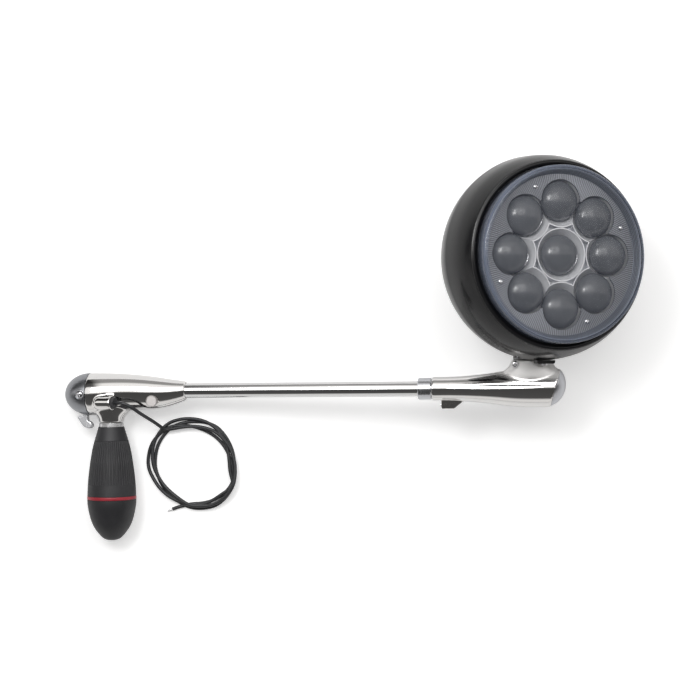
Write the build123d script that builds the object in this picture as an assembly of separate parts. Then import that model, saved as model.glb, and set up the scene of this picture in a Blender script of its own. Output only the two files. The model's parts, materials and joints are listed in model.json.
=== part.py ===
from build123d import *
import math
import os

# Pillar spotlight, lying on a bench as it comes out of its box.
#
# Every rigid piece is drawn in the drive frame: X runs along the shaft tube from the handle to the
# lamp, Y runs up the lamp post, and the origin is where the grip's axis crosses the shaft's axis.
# The whole lamp is then laid down, so that its head, its grip and its handle rest on the bench.
# Lengths are in millimetres and angles in degrees.

# Shaft
tube_od = 12.7
tube_wall = 1.2
shaft_free_length = 198.0
tube_in_handle = 46.0
tube_in_gooseneck = 50.0
drive_shaft_d = 6.35
shaft_end_d = 5.0
running_clearance = 0.04
bush_length = 12.0
seat_clearance = 0.02
assembly_clearance = 0.3
end_play = 0.3
bush_gap = 0.4
passage_clearance = 0.2
collar_length = 11.2
collar_od = 18.0
collar_gap = 0.4
collar_chamfer = 0.6

# Bevel gears, all four alike
gear_teeth = 16
gear_module = 1.0
gear_face = 3.8
gear_pressure_angle = 20.0
gear_dedendum = 1.25
gear_backlash = 0.14
gear_hub_radius = 5.0
gear_hub_length = 4.6
gear_hub_room = 1.2
gear_room = 7.0
gear_pin_radius = 0.8
gear_pin_inset = 0.2
gear_bore_clearance = 0.02

# Handle casting
handle_length = 66.5
cap_seam = 18.1
handle_drop = 2.5
# Ovals of the casting: distance along the shaft, top edge, bottom edge and half width
handle_sections = [
    (0.0, 15.3, -18.6, 17.0),
    (22.0, 13.9, -16.4, 14.4),
    (44.0, 11.2, -14.6, 12.0),
    (57.0, 9.2, -11.4, 10.0),
]
handle_tip_radius = 8.0
handle_end_radius = 18.05
handle_bore_radius = 11.8
switch_bore_radius = 12.7
spigot_radius = 15.0
spigot_length = 8.0
skirt_bottom = 26.9
skirt_radius = 10.2
# Ovals of the skirt over the grip: distance below the shaft, half length and half width
skirt_sections = [(23.0, 11.2, 10.3), (19.0, 14.4, 10.7), (14.0, 17.5, 11.2)]
gland_boss_radius = 6.3
gland_boss_length = 12.4
gland_rise = 15.0
gland_place = (-5.0, -9.8, 14.2)
gland_bore_radius = 4.2
gland_bore_depth = 6.5
gland_across_flats = 9.2
gland_head_length = 2.4
gland_chamfer = 1.0
gland_head_room = 0.5
clamp_bolt_x = 39.0
clamp_bolt_y = -8.8
clamp_bolt_head_radius = 4.4
clamp_bolt_shank_radius = 2.0
clamp_bolt_top = 12.3
clamp_bolt_head_height = 4.2
clamp_bolt_bottom = -8.5
clamp_bolt_chamfer = 0.4
screw_clearance = 0.1

# Handle end cap and trigger
cap_depth = 22.1
cap_wall = 2.7
cap_inner_step = 2.0
cap_flat_drop = 19.3
cap_flat_tilt = 9.0
cap_screw_x = -22.4
cap_screw_depth = 1.9
cap_screw_head_radius = 2.8
cap_screw_head_height = 1.3
cap_screw_shank_radius = 1.5
cap_screw_slot_width = 0.8
cap_screw_slot_depth = 0.5
cap_screw_recess_radius = 4.1
bracket_offset = 3.1
bracket_thickness = 1.5
bracket_hole_radius = 2.0
switch_length = 9.5
switch_top = 2.4
switch_bottom = -8.4
switch_width = 9.0
switch_chamfer = 0.5
plunger_radius = 1.1
plunger_offset = 3.4
plunger_clearance = 0.1
lever_width = 6.4
lever_slot_width = 7.6
lever_pin_x = -22.4
lever_pin_y = -12.8
lever_pin_radius = 1.0
lever_pin_length = 18.0
lever_eye_radius = 2.5
lever_slot_top = -11.0
lever_slot_bottom = -26.0
lever_arm_length = 4.4
lever_arm_height = 2.4
lever_arm_width = 2.4
trigger_travel = 8.0
# The trigger's blade, from its pin: down its back to the tip, and up its front to the neck
lever_back = [(-7.0, -8.4), (-4.2, -13.8), (1.4, -18.8), (5.4, -18.2)]
lever_front = [(5.4, -18.2), (6.0, -15.6), (3.1, -12.8), (2.0, -9.6)]
lever_neck = [(2.0, -9.6), (2.2, 0.0), (-2.0, 0.0), (-2.2, -8.8), (-7.0, -8.4)]

# Grip
spindle_d = 8.0
grip_bush_wall = 2.2
ferrule_od = 20.6
ferrule_height = 3.3
ferrule_chamfer = 0.5
grip_gap = 0.3
grip_length = 97.0
grip_band_from_top = 59.0
grip_band_height = 3.0
grip_max_radius = 20.8
# The grip's radius below its widest place, by share of its length
grip_tail = [(0.76, 19.3), (0.88, 15.3), (0.96, 9.6), (1.0, 4.0)]
# Its radius above that
grip_shoulder = [(0.0, 10.9), (0.08, 13.2), (0.19, 16.1), (0.31, 18.1), (0.43, 19.6), (0.54, 20.5)]
grip_widest_share = 0.64
grip_band_fillet = 0.8
grip_socket_depth = 81.2
flute_count = 54
flute_radius = 0.75
flute_depth = 0.4
flute_top = 12.0
flute_bottom = 48.5

# Gooseneck casting
neck_offset = 82.0
gooseneck_end_radius = 9.9
gooseneck_bore_radius = 12.4
gooseneck_core_radius = 9.6
# Radius of the casting by distance from its end
gooseneck_profile = [(26.0, 10.4), (48.0, 12.6), (64.0, 14.8), (82.0, 15.7), (112.0, 14.9)]
neck_radius = 16.5
neck_top = 23.0
# Ovals of the neck: distance below its top, growth along the shaft and waist across it
neck_sections = [
    (0.0, 0.0, 0.0),
    (2.0, 0.6, 0.2),
    (4.5, 1.9, 0.6),
    (7.0, 4.3, 1.1),
    (10.0, 8.0, 1.6),
    (14.0, 11.0, 2.1),
    (19.0, 13.0, 3.4),
]
seam_tilt = 16.0
seam_x_from_post = 19.5
gooseneck_cap_radius = 15.2
gooseneck_cap_height = 7.7
gooseneck_spigot_wall = 2.0
lug_thickness = 7.0
lug_start = 7.5
lug_length = 10.5
lug_slope = 8.0
lug_drop = 16.9
lug_root = 10.6
lug_screw_drop = 13.4
lug_screw_radius = 1.6
lug_screw_length = 5.6
lug_screw_proud = 0.6
post_d = 10.0
post_bush_wall = 2.4
post_bush_inset = 0.5
post_proud = 2.0
washer_thickness = 1.0
washer_inner_radius = 8.0
washer_outer_radius = 15.0
washer_play = 0.2
neck_screw_head_radius = 2.8
neck_screw_head_height = 2.0
neck_screw_head_fillet = 1.4
neck_screw_shank_radius = 1.48
neck_screw_hole_radius = 1.5
neck_screw_length = 6.0
neck_screw_socket_radius = 1.0
neck_screw_socket_depth = 1.0
neck_screw_setback = 12.9
neck_screw_drop = 3.4
neck_screw_z = 9.4

# Lamp head. Its own frame has its origin on the post's axis and Z along the beam.
head_pan = 28.0
seam_forward = 17.5
shell_radius = 82.6
shell_depth = 83.4
shell_fullness = 1.7
shell_wall = 1.8
foot_radius = 15.2
foot_flat = 1.4
foot_rise = 20.0
foot_bore_radius = 11.8
foot_thickness = 3.2
foot_relief = 0.8
foot_bore_depth = 28.0
post_nut_radius = 9.0
post_nut_height = 6.0
bezel_front = 52.4
bezel_wall = 2.2
bezel_lip_width = 2.6
bezel_lip_thickness = 2.8
bezel_rise = 0.4
bezel_root = 4.0
bezel_shoulder_drop = 1.4
bezel_tongue = 1.8
bezel_tongue_thickness = 1.2
bezel_tongue_clearance = 0.2
bezel_gasket_inset = 0.2
seam_gap = 0.3
tab_width = 16.0
tab_depth = 3.0
tab_start = 2.3
tab_length = 6.6
tab_fillet = 1.6
tab_gap = 0.1
bezel_screw_radius = 2.2
bezel_screw_height = 1.2
lens_radius = 70.2
lens_clearance = 0.6
lens_flange_width = 4.8
lens_flange_back = 46.8
lens_flange_thickness = 2.5
lens_front = 64.0
lens_wall = 2.5
lens_corner = 4.0
gasket_thickness = 1.5
gasket_inset = 0.2
module_radius = 66.6
module_bore_radius = 63.8
module_step_radius = 61.5
module_floor = 42.0
module_back = 37.0
module_rim_thickness = 4.3
plate_back = 52.0
plate_thickness = 3.0
plate_radius = 65.0
fin_count = 11
fin_thickness = 2.2
fin_reach = 34.0
fin_radius = 60.0
optic_count = 8
optic_ring_radius = 42.5
optic_radius = 14.3
optic_dome_height = 9.0
optic_base_height = 1.4
cup_radius = 21.0
cup_wall = 0.6
cup_back = 46.6
cup_base_thickness = 1.0
cup_foot_gap = 0.9
cup_hole_margin = 5.0
plate_cup_clearance = 0.2
plate_centre_margin = 5.4
plate_screw_ring_radius = 57.0
plate_screw_count = 4
plate_screw_start = 22.5
plate_screw_radius = 2.2
plate_screw_height = 1.4
plate_screw_fillet = 0.7
plate_screw_shank_radius = 1.0
plate_screw_boss_wall = 0.6
board_thickness = 1.6
emitter_side = 3.5
emitter_height = 1.6

# Lead, in the frame of the bench
lead_d = 3.0
lead_coil_centre = (-135.3, -94.4)
lead_coil_outer_radius = 40.4
lead_coil_inner_radius = 30.8
lead_coil_height = 6.2
lead_coil_edge = 1.4
lead_straight = 5.0
strand_radius = 0.9

lead_points = [
    (-186.0, -41.5, 42.0),
    (-181.8, -43.7, 41.3),
    (-178.3, -46.4, 39.0),
    (-175.4, -49.1, 35.1),
    (-171.9, -52.4, 28.2),
    (-167.7, -56.2, 19.4),
    (-163.0, -60.6, 11.5),
    (-158.8, -65.1, 5.6),
]
tail_points = [(-143.1, -131.0, 1.6), (-148.1, -132.1, 1.6), (-153.0, -133.9, 1.6)]
strand_length = 4.5

# How the lamp lies on the bench
lay_rise = 7.18
lay_roll = 0.335

# Longer than any casting is across, for a cutter that takes away all that lies past a face
far = 120.0

# Places that follow from the sizes above
pitch_radius = gear_module * gear_teeth / 2
handle_left = -cap_seam
collar_start = handle_length + shaft_free_length
gooseneck_start = collar_start + collar_length + collar_gap
post_x = gooseneck_start + neck_offset
tube_start = handle_length - tube_in_handle
tube_end = gooseneck_start + tube_in_gooseneck
tube_bore_radius = tube_od / 2 - tube_wall
grip_top = -(skirt_bottom + grip_gap + ferrule_height)
grip_bottom = grip_top - grip_length
handle_axis_y = -handle_drop
switch_depth = bracket_offset + bracket_thickness
cap_screw_z = handle_end_radius - cap_screw_depth
grip_bush_radius = spindle_d / 2 + grip_bush_wall
post_bush_radius = post_d / 2 + post_bush_wall
seat_y = neck_top + washer_thickness + washer_play
head_down = shell_radius - foot_flat
head_height = seat_y + head_down
lens_flange_radius = lens_radius + lens_flange_width
bezel_opening_radius = lens_radius + lens_clearance
bezel_back = seam_forward + seam_gap
bezel_outer_radius = shell_radius + bezel_rise
bezel_nose_radius = lens_flange_radius + lens_clearance
bezel_shoulder = bezel_front - bezel_shoulder_drop
tab_low = -(shell_radius + tab_depth)
cup_floor = cup_back + cup_base_thickness
plate_front = plate_back + plate_thickness

CENTRE_MIN = (Align.CENTER, Align.CENTER, Align.MIN)


def rod(start, end, radius):
    """A round bar from one point to another."""
    run = Vector(*end) - Vector(*start)
    plane = Plane(origin=start, z_dir=run)
    return plane * Cylinder(radius, run.length, align=CENTRE_MIN)


def tube(start, end, outer, inner):
    """A round pipe from one point to another."""
    return rod(start, end, outer) - rod(start, end, inner)


def turned(outline, axis, plane=Plane.XY):
    """A closed outline turned about an axis."""
    return revolve(plane * make_face(outline), axis)


def polygon(points):
    return Polyline(*points, close=True)


def slab(x_range, y_range, z_range):
    """A box given by its limits."""
    size = [high - low for low, high in (x_range, y_range, z_range)]
    middle = [(high + low) / 2 for low, high in (x_range, y_range, z_range)]
    return Pos(*middle) * Box(*size)


def half_space():
    """All that lies above the XY plane, as far as any piece reaches."""
    return Box(far, far, far, align=CENTRE_MIN)


def ellipse_at(origin, normal, x_dir, half_x, half_y):
    plane = Plane(origin=origin, x_dir=x_dir, z_dir=normal)
    return plane * Ellipse(half_x, half_y)


# Bevel gears


def involute(angle):
    return math.tan(angle) - angle


def gear_section(scale):
    """The toothed outline in a plane square to the gear's axis, at a share of its pitch cone.

    The flanks are involutes on the back cone, seen from the apex, so that two gears with crossing
    axes and a common apex roll on each other.
    """
    cone = math.radians(45)
    cone_distance = pitch_radius / math.sin(cone)
    virtual_radius = pitch_radius / math.cos(cone)
    pressure = math.radians(gear_pressure_angle)
    base_radius = virtual_radius * math.cos(pressure)
    pitch_half = (math.pi * gear_module - gear_backlash) / 4 / virtual_radius
    dedendum = gear_dedendum * gear_module
    heights = [-dedendum, base_radius - virtual_radius, 0.0, gear_module / 2, gear_module]

    def flank(height):
        reach = max(virtual_radius + height, base_radius)
        half = pitch_half + involute(pressure) - involute(math.acos(base_radius / reach))
        radius = pitch_radius * math.tan(cone + math.atan(height / cone_distance))
        return radius, half / math.cos(cone)

    side = [flank(height) for height in heights]
    points = []
    for tooth in range(gear_teeth):
        middle = 2 * math.pi * tooth / gear_teeth
        for radius, half in side:
            points.append((radius * scale, middle - half))
        for radius, half in reversed(side):
            points.append((radius * scale, middle + half))
    flat = [(r * math.cos(a), r * math.sin(a)) for r, a in points]
    return Pos(0, 0, pitch_radius * scale) * make_face(polygon(flat))


def gear_face_distance(share):
    """How far a gear's face lies from its apex, where its pitch cone has this share of its length."""
    root_angle = math.radians(45) - math.atan(gear_dedendum / gear_teeth * math.sqrt(2))
    return 2 * pitch_radius * share / (1 + math.tan(root_angle))


gear_front_share = 1 - gear_face / (pitch_radius * math.sqrt(2))
hub_front = gear_face_distance(gear_front_share)
hub_back = gear_face_distance(1.0) + gear_hub_length
pin_reach = hub_back - gear_hub_length / 2


def bevel_gear():
    """A straight bevel gear about Z with its apex at the origin and its teeth facing the apex."""
    teeth = loft([gear_section(0.45), gear_section(1.25)], ruled=True)
    front_sum = 2 * pitch_radius * gear_front_share
    back_sum = 2 * pitch_radius
    front_z = hub_front
    back_z = hub_back - gear_hub_length
    beyond = 1.4 * gear_module
    blank = polygon(
        [
            (0, front_z),
            (front_sum - front_z, front_z),
            (front_sum / 2 + beyond, front_sum / 2 - beyond),
            (pitch_radius + beyond, pitch_radius - beyond),
            (back_sum - back_z, back_z),
            (0, back_z),
        ]
    )
    gear = teeth & turned(blank, Axis.Z, Plane.XZ)
    gear += rod((0, 0, (front_z + back_z) / 2), (0, 0, hub_back), gear_hub_radius)
    return gear - rod((0, 0, 0), (0, 0, hub_back + 1), shaft_end_d / 2 + gear_bore_clearance)


chamber_reach = hub_front + gear_room
gear_places = {
    "handle_shaft_gear": (Plane((0, 0, 0), x_dir=(0, -1, 0), z_dir=(1, 0, 0)), 0.0),
    "grip_gear": (Plane((0, 0, 0), x_dir=(1, 0, 0), z_dir=(0, -1, 0)), 0.5),
    "gooseneck_shaft_gear": (Plane((post_x, 0, 0), x_dir=(0, 1, 0), z_dir=(-1, 0, 0)), 0.0),
    "post_gear": (Plane((post_x, 0, 0), x_dir=(-1, 0, 0), z_dir=(0, 1, 0)), 0.5),
}


plain_gear = bevel_gear()


def gear(name):
    """One of the four gears, turned by its share of a tooth and drilled for its pin."""
    plane, phase = gear_places[name]
    return plane * Rot(0, 0, 360 * phase / gear_teeth) * plain_gear - pin_hole(name)


def gear_pin(name):
    """The cross pin of one gear, through its hub and the shaft."""
    plane = gear_places[name][0]
    reach = gear_hub_radius - gear_pin_inset
    return plane * rod((0, -reach, pin_reach), (0, reach, pin_reach), gear_pin_radius)


def pin_hole(name):
    plane = gear_places[name][0]
    return plane * rod((0, -pitch_radius, pin_reach), (0, pitch_radius, pin_reach), gear_pin_radius)


# Shaft


def shaft_tube():
    return tube((tube_start, 0, 0), (tube_end, 0, 0), tube_od / 2, tube_bore_radius)


def shaft_collar():
    start = (collar_start, 0, 0)
    end = (collar_start + collar_length, 0, 0)
    collar = rod(start, end, collar_od / 2)
    collar = chamfer(collar.edges().filter_by(GeomType.CIRCLE), collar_chamfer)
    return collar - rod(start, end, tube_od / 2 + seat_clearance)


def shaft_bush(start):
    return tube(
        (start, 0, 0),
        (start + bush_length, 0, 0),
        tube_bore_radius - seat_clearance,
        drive_shaft_d / 2 + running_clearance,
    )


def drive_shaft():
    shoulder = hub_back + end_play
    tip = hub_front + end_play
    shaft = rod((shoulder, 0, 0), (post_x - shoulder, 0, 0), drive_shaft_d / 2)
    shaft += rod((tip, 0, 0), (post_x - tip, 0, 0), shaft_end_d / 2)
    return shaft - pin_hole("handle_shaft_gear") - pin_hole("gooseneck_shaft_gear")


# Handle


def handle_oval(x, top, bottom, half_width):
    """One oval of the handle casting, by its top and bottom edges."""
    return ellipse_at((x, (top + bottom) / 2, 0), (1, 0, 0), (0, 1, 0), (top - bottom) / 2, half_width)


gland_start = Vector(*gland_place)
gland_direction = Vector(math.cos(math.radians(gland_rise)), 0, math.sin(math.radians(gland_rise)))


def gland_point(distance):
    return tuple(gland_start + gland_direction * distance)


def handle_casting():
    top = handle_end_radius - handle_drop
    bottom = -handle_end_radius - handle_drop
    ovals = [(handle_left, top, bottom, handle_end_radius)] + handle_sections
    ovals.append((handle_length, handle_tip_radius, -handle_tip_radius, handle_tip_radius))
    body = loft([handle_oval(*oval) for oval in ovals])
    skirt = loft(
        [
            ellipse_at((0, -drop, 0), (0, 1, 0), (1, 0, 0), half_length, half_width)
            for drop, half_length, half_width in [(skirt_bottom, skirt_radius, skirt_radius)] + skirt_sections
        ]
    )
    casting = body + skirt
    hood = rod(gland_point(0), gland_point(gland_boss_length), gland_boss_radius)
    hood += Plane(origin=gland_point(0), z_dir=gland_direction) * Sphere(gland_boss_radius)
    casting += hood
    casting -= rod(
        gland_point(gland_boss_length - gland_bore_depth),
        gland_point(gland_boss_length + gland_head_length),
        gland_bore_radius,
    )
    casting -= rod(
        gland_point(gland_boss_length),
        gland_point(gland_boss_length + 2 * gland_head_length),
        gland_boss_radius - gland_head_room,
    )
    spigot_end = handle_left - spigot_length
    step = handle_left + switch_depth
    axis_y = handle_axis_y
    casting += rod((spigot_end, axis_y, 0), (handle_left + 1, axis_y, 0), spigot_radius)
    casting -= rod((spigot_end, axis_y, 0), (step, axis_y, 0), switch_bore_radius)
    casting -= rod((step, axis_y, 0), (chamber_reach, axis_y, 0), handle_bore_radius)
    casting -= rod((chamber_reach - 1, 0, 0), (tube_start, 0, 0), tube_od / 2 + passage_clearance)
    casting -= rod((tube_start, 0, 0), (handle_length + 1, 0, 0), tube_od / 2 + seat_clearance)
    casting -= rod((0, 0, 0), (0, -hub_back - bush_gap, 0), gear_hub_radius + gear_hub_room)
    casting -= rod((0, 0, 0), (0, -skirt_bottom - 1, 0), grip_bush_radius + seat_clearance)
    casting -= lever_slot()
    casting -= lever_pin()
    casting -= cap_screw_shank(cap_screw_shank_radius)
    seat_z = clamp_bolt_top - clamp_bolt_head_height
    casting -= rod(
        (clamp_bolt_x, clamp_bolt_y, seat_z),
        (clamp_bolt_x, clamp_bolt_y, handle_end_radius),
        clamp_bolt_head_radius + screw_clearance,
    )
    return casting - rod(
        (clamp_bolt_x, clamp_bolt_y, clamp_bolt_bottom),
        (clamp_bolt_x, clamp_bolt_y, seat_z + 1),
        clamp_bolt_shank_radius,
    )


def lever_slot():
    half = lever_slot_width / 2
    left = handle_left - spigot_length - 2 * cap_wall
    return slab((left, handle_left - collar_gap), (lever_slot_bottom, lever_slot_top), (-half, half))


def cap_screw_shank(radius):
    """A bar along the end cap's screw, from the casting's bore to the bottom of the cap's recess."""
    low = (cap_screw_x, handle_axis_y, switch_bore_radius - screw_clearance)
    return rod(low, (cap_screw_x, handle_axis_y, cap_screw_z), radius)


def handle_end_cap():
    """A dome over the open end of the casting, with a flat under it for the trigger."""
    centre = (handle_left, handle_axis_y)
    outline = Curve() + [
        EllipticalCenterArc(centre, cap_depth, handle_end_radius, start_angle=90, arc_size=90),
        Line((handle_left - cap_depth, handle_axis_y), centre),
        Line(centre, (handle_left, handle_axis_y + handle_end_radius)),
    ]
    axis = Axis((0, handle_axis_y, 0), (1, 0, 0))
    cap = turned(outline, axis)
    inner_radius = handle_end_radius - cap_wall
    inner_start = handle_left - spigot_length - collar_gap
    cap -= rod((inner_start, handle_axis_y, 0), (handle_left, handle_axis_y, 0), inner_radius)
    inner_centre = (inner_start + cap_inner_step, handle_axis_y)
    hollow_depth = cap_depth - spigot_length - cap_wall
    hollow_radius = inner_radius - cap_inner_step
    hollow = Curve() + [
        EllipticalCenterArc(inner_centre, hollow_depth, hollow_radius, start_angle=90, arc_size=90),
        Line((inner_centre[0] - hollow_depth, handle_axis_y), inner_centre),
        Line(inner_centre, (inner_centre[0], handle_axis_y + hollow_radius)),
    ]
    cap -= turned(hollow, axis)
    flat_middle = (handle_left - cap_depth / 2, -cap_flat_drop, 0)
    cap -= Pos(*flat_middle) * Rot(90, 0, 0) * Rot(0, -cap_flat_tilt, 0) * half_space()
    cap -= lever_slot()
    cap -= rod(
        (cap_screw_x, handle_axis_y, cap_screw_z),
        (cap_screw_x, handle_axis_y, handle_end_radius + 1),
        cap_screw_recess_radius,
    )
    return cap - cap_screw_shank(cap_screw_shank_radius + screw_clearance)


def end_cap_screw():
    """A slotted screw at the bottom of the cap's recess."""
    start = (cap_screw_x, handle_axis_y, cap_screw_z)
    top = (cap_screw_x, handle_axis_y, cap_screw_z + cap_screw_head_height)
    screw = rod(start, top, cap_screw_head_radius) + cap_screw_shank(cap_screw_shank_radius)
    slot = Box(cap_screw_slot_width, 2 * cap_screw_head_radius, 2 * cap_screw_slot_depth)
    return screw - Pos(*top) * slot


def clamp_bolt():
    seat_z = clamp_bolt_top - clamp_bolt_head_height
    head = rod(
        (clamp_bolt_x, clamp_bolt_y, seat_z),
        (clamp_bolt_x, clamp_bolt_y, clamp_bolt_top),
        clamp_bolt_head_radius,
    )
    head = chamfer(head.edges().group_by(Axis.Z)[-1], clamp_bolt_chamfer)
    return head + rod(
        (clamp_bolt_x, clamp_bolt_y, clamp_bolt_bottom),
        (clamp_bolt_x, clamp_bolt_y, seat_z),
        clamp_bolt_shank_radius,
    )


def lead_gland():
    """A gland that sits in the casting's hood, with a hexagon end that the lead comes out of."""
    hexagon = RegularPolygon(gland_across_flats / 2, 6, major_radius=False)
    head = extrude(hexagon, gland_head_length)
    corner = gland_across_flats / math.sqrt(3)
    limits = [
        (0, 0),
        (corner, 0),
        (corner, gland_head_length - gland_chamfer),
        (corner - gland_chamfer, gland_head_length),
        (0, gland_head_length),
    ]
    head &= turned(polygon(limits), Axis.Z, Plane.XZ)
    body = rod((0, 0, -gland_bore_depth), (0, 0, 0), gland_bore_radius - seat_clearance)
    plane = Plane(origin=gland_point(gland_boss_length), x_dir=(0, 1, 0), z_dir=gland_direction)
    return plane * (head + body)


def switch_bracket():
    start = handle_left + bracket_offset
    end = start + bracket_thickness
    radius = switch_bore_radius - screw_clearance
    plate = rod((start, handle_axis_y, 0), (end, handle_axis_y, 0), radius)
    return plate - rod((start, 0, 0), (end, 0, 0), bracket_hole_radius)


def trigger_switch():
    """The switch, with a plunger that the trigger's arm reaches at full pull."""
    right = handle_left + bracket_offset
    half = switch_width / 2
    body = slab((right - switch_length, right), (switch_bottom, switch_top), (-half, half))
    body = chamfer(body.edges().filter_by(Axis.X), switch_chamfer)
    pull = math.radians(trigger_travel)
    arm_top = lever_arm_height * math.cos(pull) + (plunger_offset + plunger_radius) * math.sin(pull)
    plunger_x = lever_pin_x + plunger_offset
    plunger_end = lever_pin_y + arm_top + plunger_clearance
    return body + rod((plunger_x, switch_bottom, 0), (plunger_x, plunger_end, 0), plunger_radius)


def lever_pin():
    half = lever_pin_length / 2
    return rod((lever_pin_x, lever_pin_y, -half), (lever_pin_x, lever_pin_y, half), lever_pin_radius)


def trigger_lever():
    """A finger trigger: an eye on the pin, a neck through the slot and a curled blade below."""
    half = lever_width / 2
    arm_half = lever_arm_width / 2
    blade = Curve() + [
        Spline(*lever_back, tangents=((0.35, -1), (0.8, 1))),
        Spline(*lever_front, tangents=((0.8, 1), (0.1, 1))),
    ]
    blade += [Line(start, end) for start, end in zip(lever_neck, lever_neck[1:])]
    lever = Pos(0, 0, -half) * extrude(make_face(blade), lever_width)
    lever += rod((0, 0, -half), (0, 0, half), lever_eye_radius)
    lever += slab((0, lever_arm_length), (0, lever_arm_height), (-arm_half, arm_half))
    lever -= rod((0, 0, -half), (0, 0, half), lever_pin_radius + running_clearance)
    return Pos(lever_pin_x, lever_pin_y, 0) * lever


# Grip

def grip_bush():
    return tube(
        (0, -skirt_bottom, 0),
        (0, -hub_back - bush_gap, 0),
        grip_bush_radius,
        spindle_d / 2 + running_clearance,
    )


def grip_profile(depth):
    """The grip's radius at a depth below its top."""
    share = depth / grip_length
    table = grip_shoulder + [(grip_widest_share, grip_max_radius)] + grip_tail
    for (low, r_low), (high, r_high) in zip(table, table[1:]):
        if share <= high:
            return r_low + (r_high - r_low) * (share - low) / (high - low)
    return table[-1][1]


def grip_spindle():
    shoulder = -(hub_back + bush_gap + end_play)
    end = grip_top - grip_socket_depth + end_play
    spindle = rod((0, shoulder, 0), (0, end, 0), spindle_d / 2)
    spindle += rod((0, -hub_front - end_play, 0), (0, shoulder, 0), shaft_end_d / 2)
    return spindle - pin_hole("grip_gear")


def grip_ferrule():
    low = grip_top
    high = grip_top + ferrule_height
    ring = tube((0, low, 0), (0, high, 0), ferrule_od / 2, spindle_d / 2 + seat_clearance)
    return chamfer(ring.edges().group_by(Axis.Y)[-1].sort_by(SortBy.RADIUS)[-1], ferrule_chamfer)


def grip_body():
    """The fluted upper part of the grip."""
    height = grip_band_from_top
    depths = [0.0, 0.13, 0.3, 0.5, 0.72, 1.0]
    side = Spline(*[(grip_profile(height * d), grip_top - height * d) for d in depths])
    bottom_r = grip_profile(height)
    outline = Curve() + [
        side,
        Line((bottom_r, grip_top - height), (0, grip_top - height)),
        Line((0, grip_top - height), (0, grip_top)),
        Line((0, grip_top), (grip_profile(0), grip_top)),
    ]
    body = turned(outline, Axis.Y)
    stations = [flute_top, (flute_top + flute_bottom) / 2, flute_bottom]
    corners = [
        (grip_profile(depth) + flute_radius - flute_depth, grip_top - depth, 0) for depth in stations
    ]
    cutter = Part() + [rod(high, low, flute_radius) for high, low in zip(corners, corners[1:])]
    cutter += [Pos(*corner) * Sphere(flute_radius) for corner in corners]
    body -= [Rot(0, 360 * turn / flute_count, 0) * cutter for turn in range(flute_count)]
    return body - rod((0, grip_top + 1, 0), (0, grip_bottom, 0), spindle_d / 2 + seat_clearance)


def grip_band():
    low = grip_top - grip_band_from_top - grip_band_height
    high = grip_top - grip_band_from_top
    ring = rod((0, low, 0), (0, high, 0), grip_max_radius + 0.1)
    ring = fillet(ring.edges().filter_by(GeomType.CIRCLE), grip_band_fillet)
    return ring - rod((0, low, 0), (0, high, 0), spindle_d / 2 + seat_clearance)


def grip_end_cap():
    top = grip_top - grip_band_from_top - grip_band_height
    side = [(radius, grip_top - grip_length * share) for share, radius in grip_tail[:-1]]
    outline = Curve() + [
        Spline((grip_max_radius, top), *side, (0, grip_bottom), tangents=((0, -1), (-1, 0))),
        Line((0, grip_bottom), (0, top)),
        Line((0, top), (grip_max_radius, top)),
    ]
    socket_end = (0, grip_top - grip_socket_depth, 0)
    return turned(outline, Axis.Y) - rod((0, top + 1, 0), socket_end, spindle_d / 2 + seat_clearance)


# Gooseneck


seam_normal = (math.cos(math.radians(seam_tilt)), -math.sin(math.radians(seam_tilt)), 0)
seam_plane = Plane(origin=(post_x + seam_x_from_post, 0, 0), x_dir=(0, 0, 1), z_dir=seam_normal)
neck_screw_x = post_x - neck_screw_setback
neck_screw_y = neck_top - neck_screw_drop


def gooseneck_casting():
    """The arm that carries the lamp: a swelling tube, a neck that flows out of it and a lug below."""
    left = gooseneck_start
    profile = [(0.0, gooseneck_end_radius)] + gooseneck_profile
    right = left + profile[-1][0]
    outline = Curve() + [
        Spline(*[(left + distance, radius) for distance, radius in profile]),
        Line((right, profile[-1][1]), (right, 0)),
        Line((right, 0), (left, 0)),
        Line((left, 0), (left, gooseneck_end_radius)),
    ]
    casting = turned(outline, Axis.X)
    casting += loft(
        [
            ellipse_at(
                (post_x, neck_top - drop, 0), (0, -1, 0), (1, 0, 0), neck_radius + flare, neck_radius - waist
            )
            for drop, flare, waist in neck_sections
        ]
    )
    casting += gooseneck_lug()
    casting -= seam_plane * half_space()
    casting -= rod((post_x - chamber_reach, 0, 0), (right, 0, 0), gooseneck_bore_radius)
    casting -= rod((left - 1, 0, 0), (tube_end, 0, 0), tube_od / 2 + seat_clearance)
    casting -= rod((tube_end, 0, 0), (post_x, 0, 0), gooseneck_core_radius)
    casting -= rod((post_x, 0, 0), (post_x, hub_back + bush_gap, 0), gear_hub_radius + gear_hub_room)
    casting -= rod((post_x, 0, 0), (post_x, neck_top + 1, 0), post_bush_radius + seat_clearance)
    casting -= lug_set_screw()
    head_room = neck_screw_head_radius + assembly_clearance
    casting -= rod(neck_screw_point(0), neck_screw_point(far / 10), head_room)
    return casting - rod(neck_screw_point(-neck_screw_length), neck_screw_point(0), neck_screw_hole_radius)


def gooseneck_lug():
    start = gooseneck_start + lug_start
    flat_end = start + lug_length
    end = flat_end + lug_slope
    corners = [(start, 0), (start, -lug_drop), (flat_end, -lug_drop), (end, -lug_root), (end, 0)]
    return Pos(0, 0, -lug_thickness / 2) * extrude(make_face(polygon(corners)), lug_thickness)


def lug_set_screw():
    """The set screw in the end of the lug, along the shaft."""
    start = gooseneck_start + lug_start - lug_screw_proud
    end = start + lug_screw_length
    return rod((start, -lug_screw_drop, 0), (end, -lug_screw_drop, 0), lug_screw_radius)


def neck_screw_point(height):
    """A point on the neck screw's axis, from its seat."""
    return neck_screw_x, neck_screw_y, neck_screw_z + height


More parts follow.
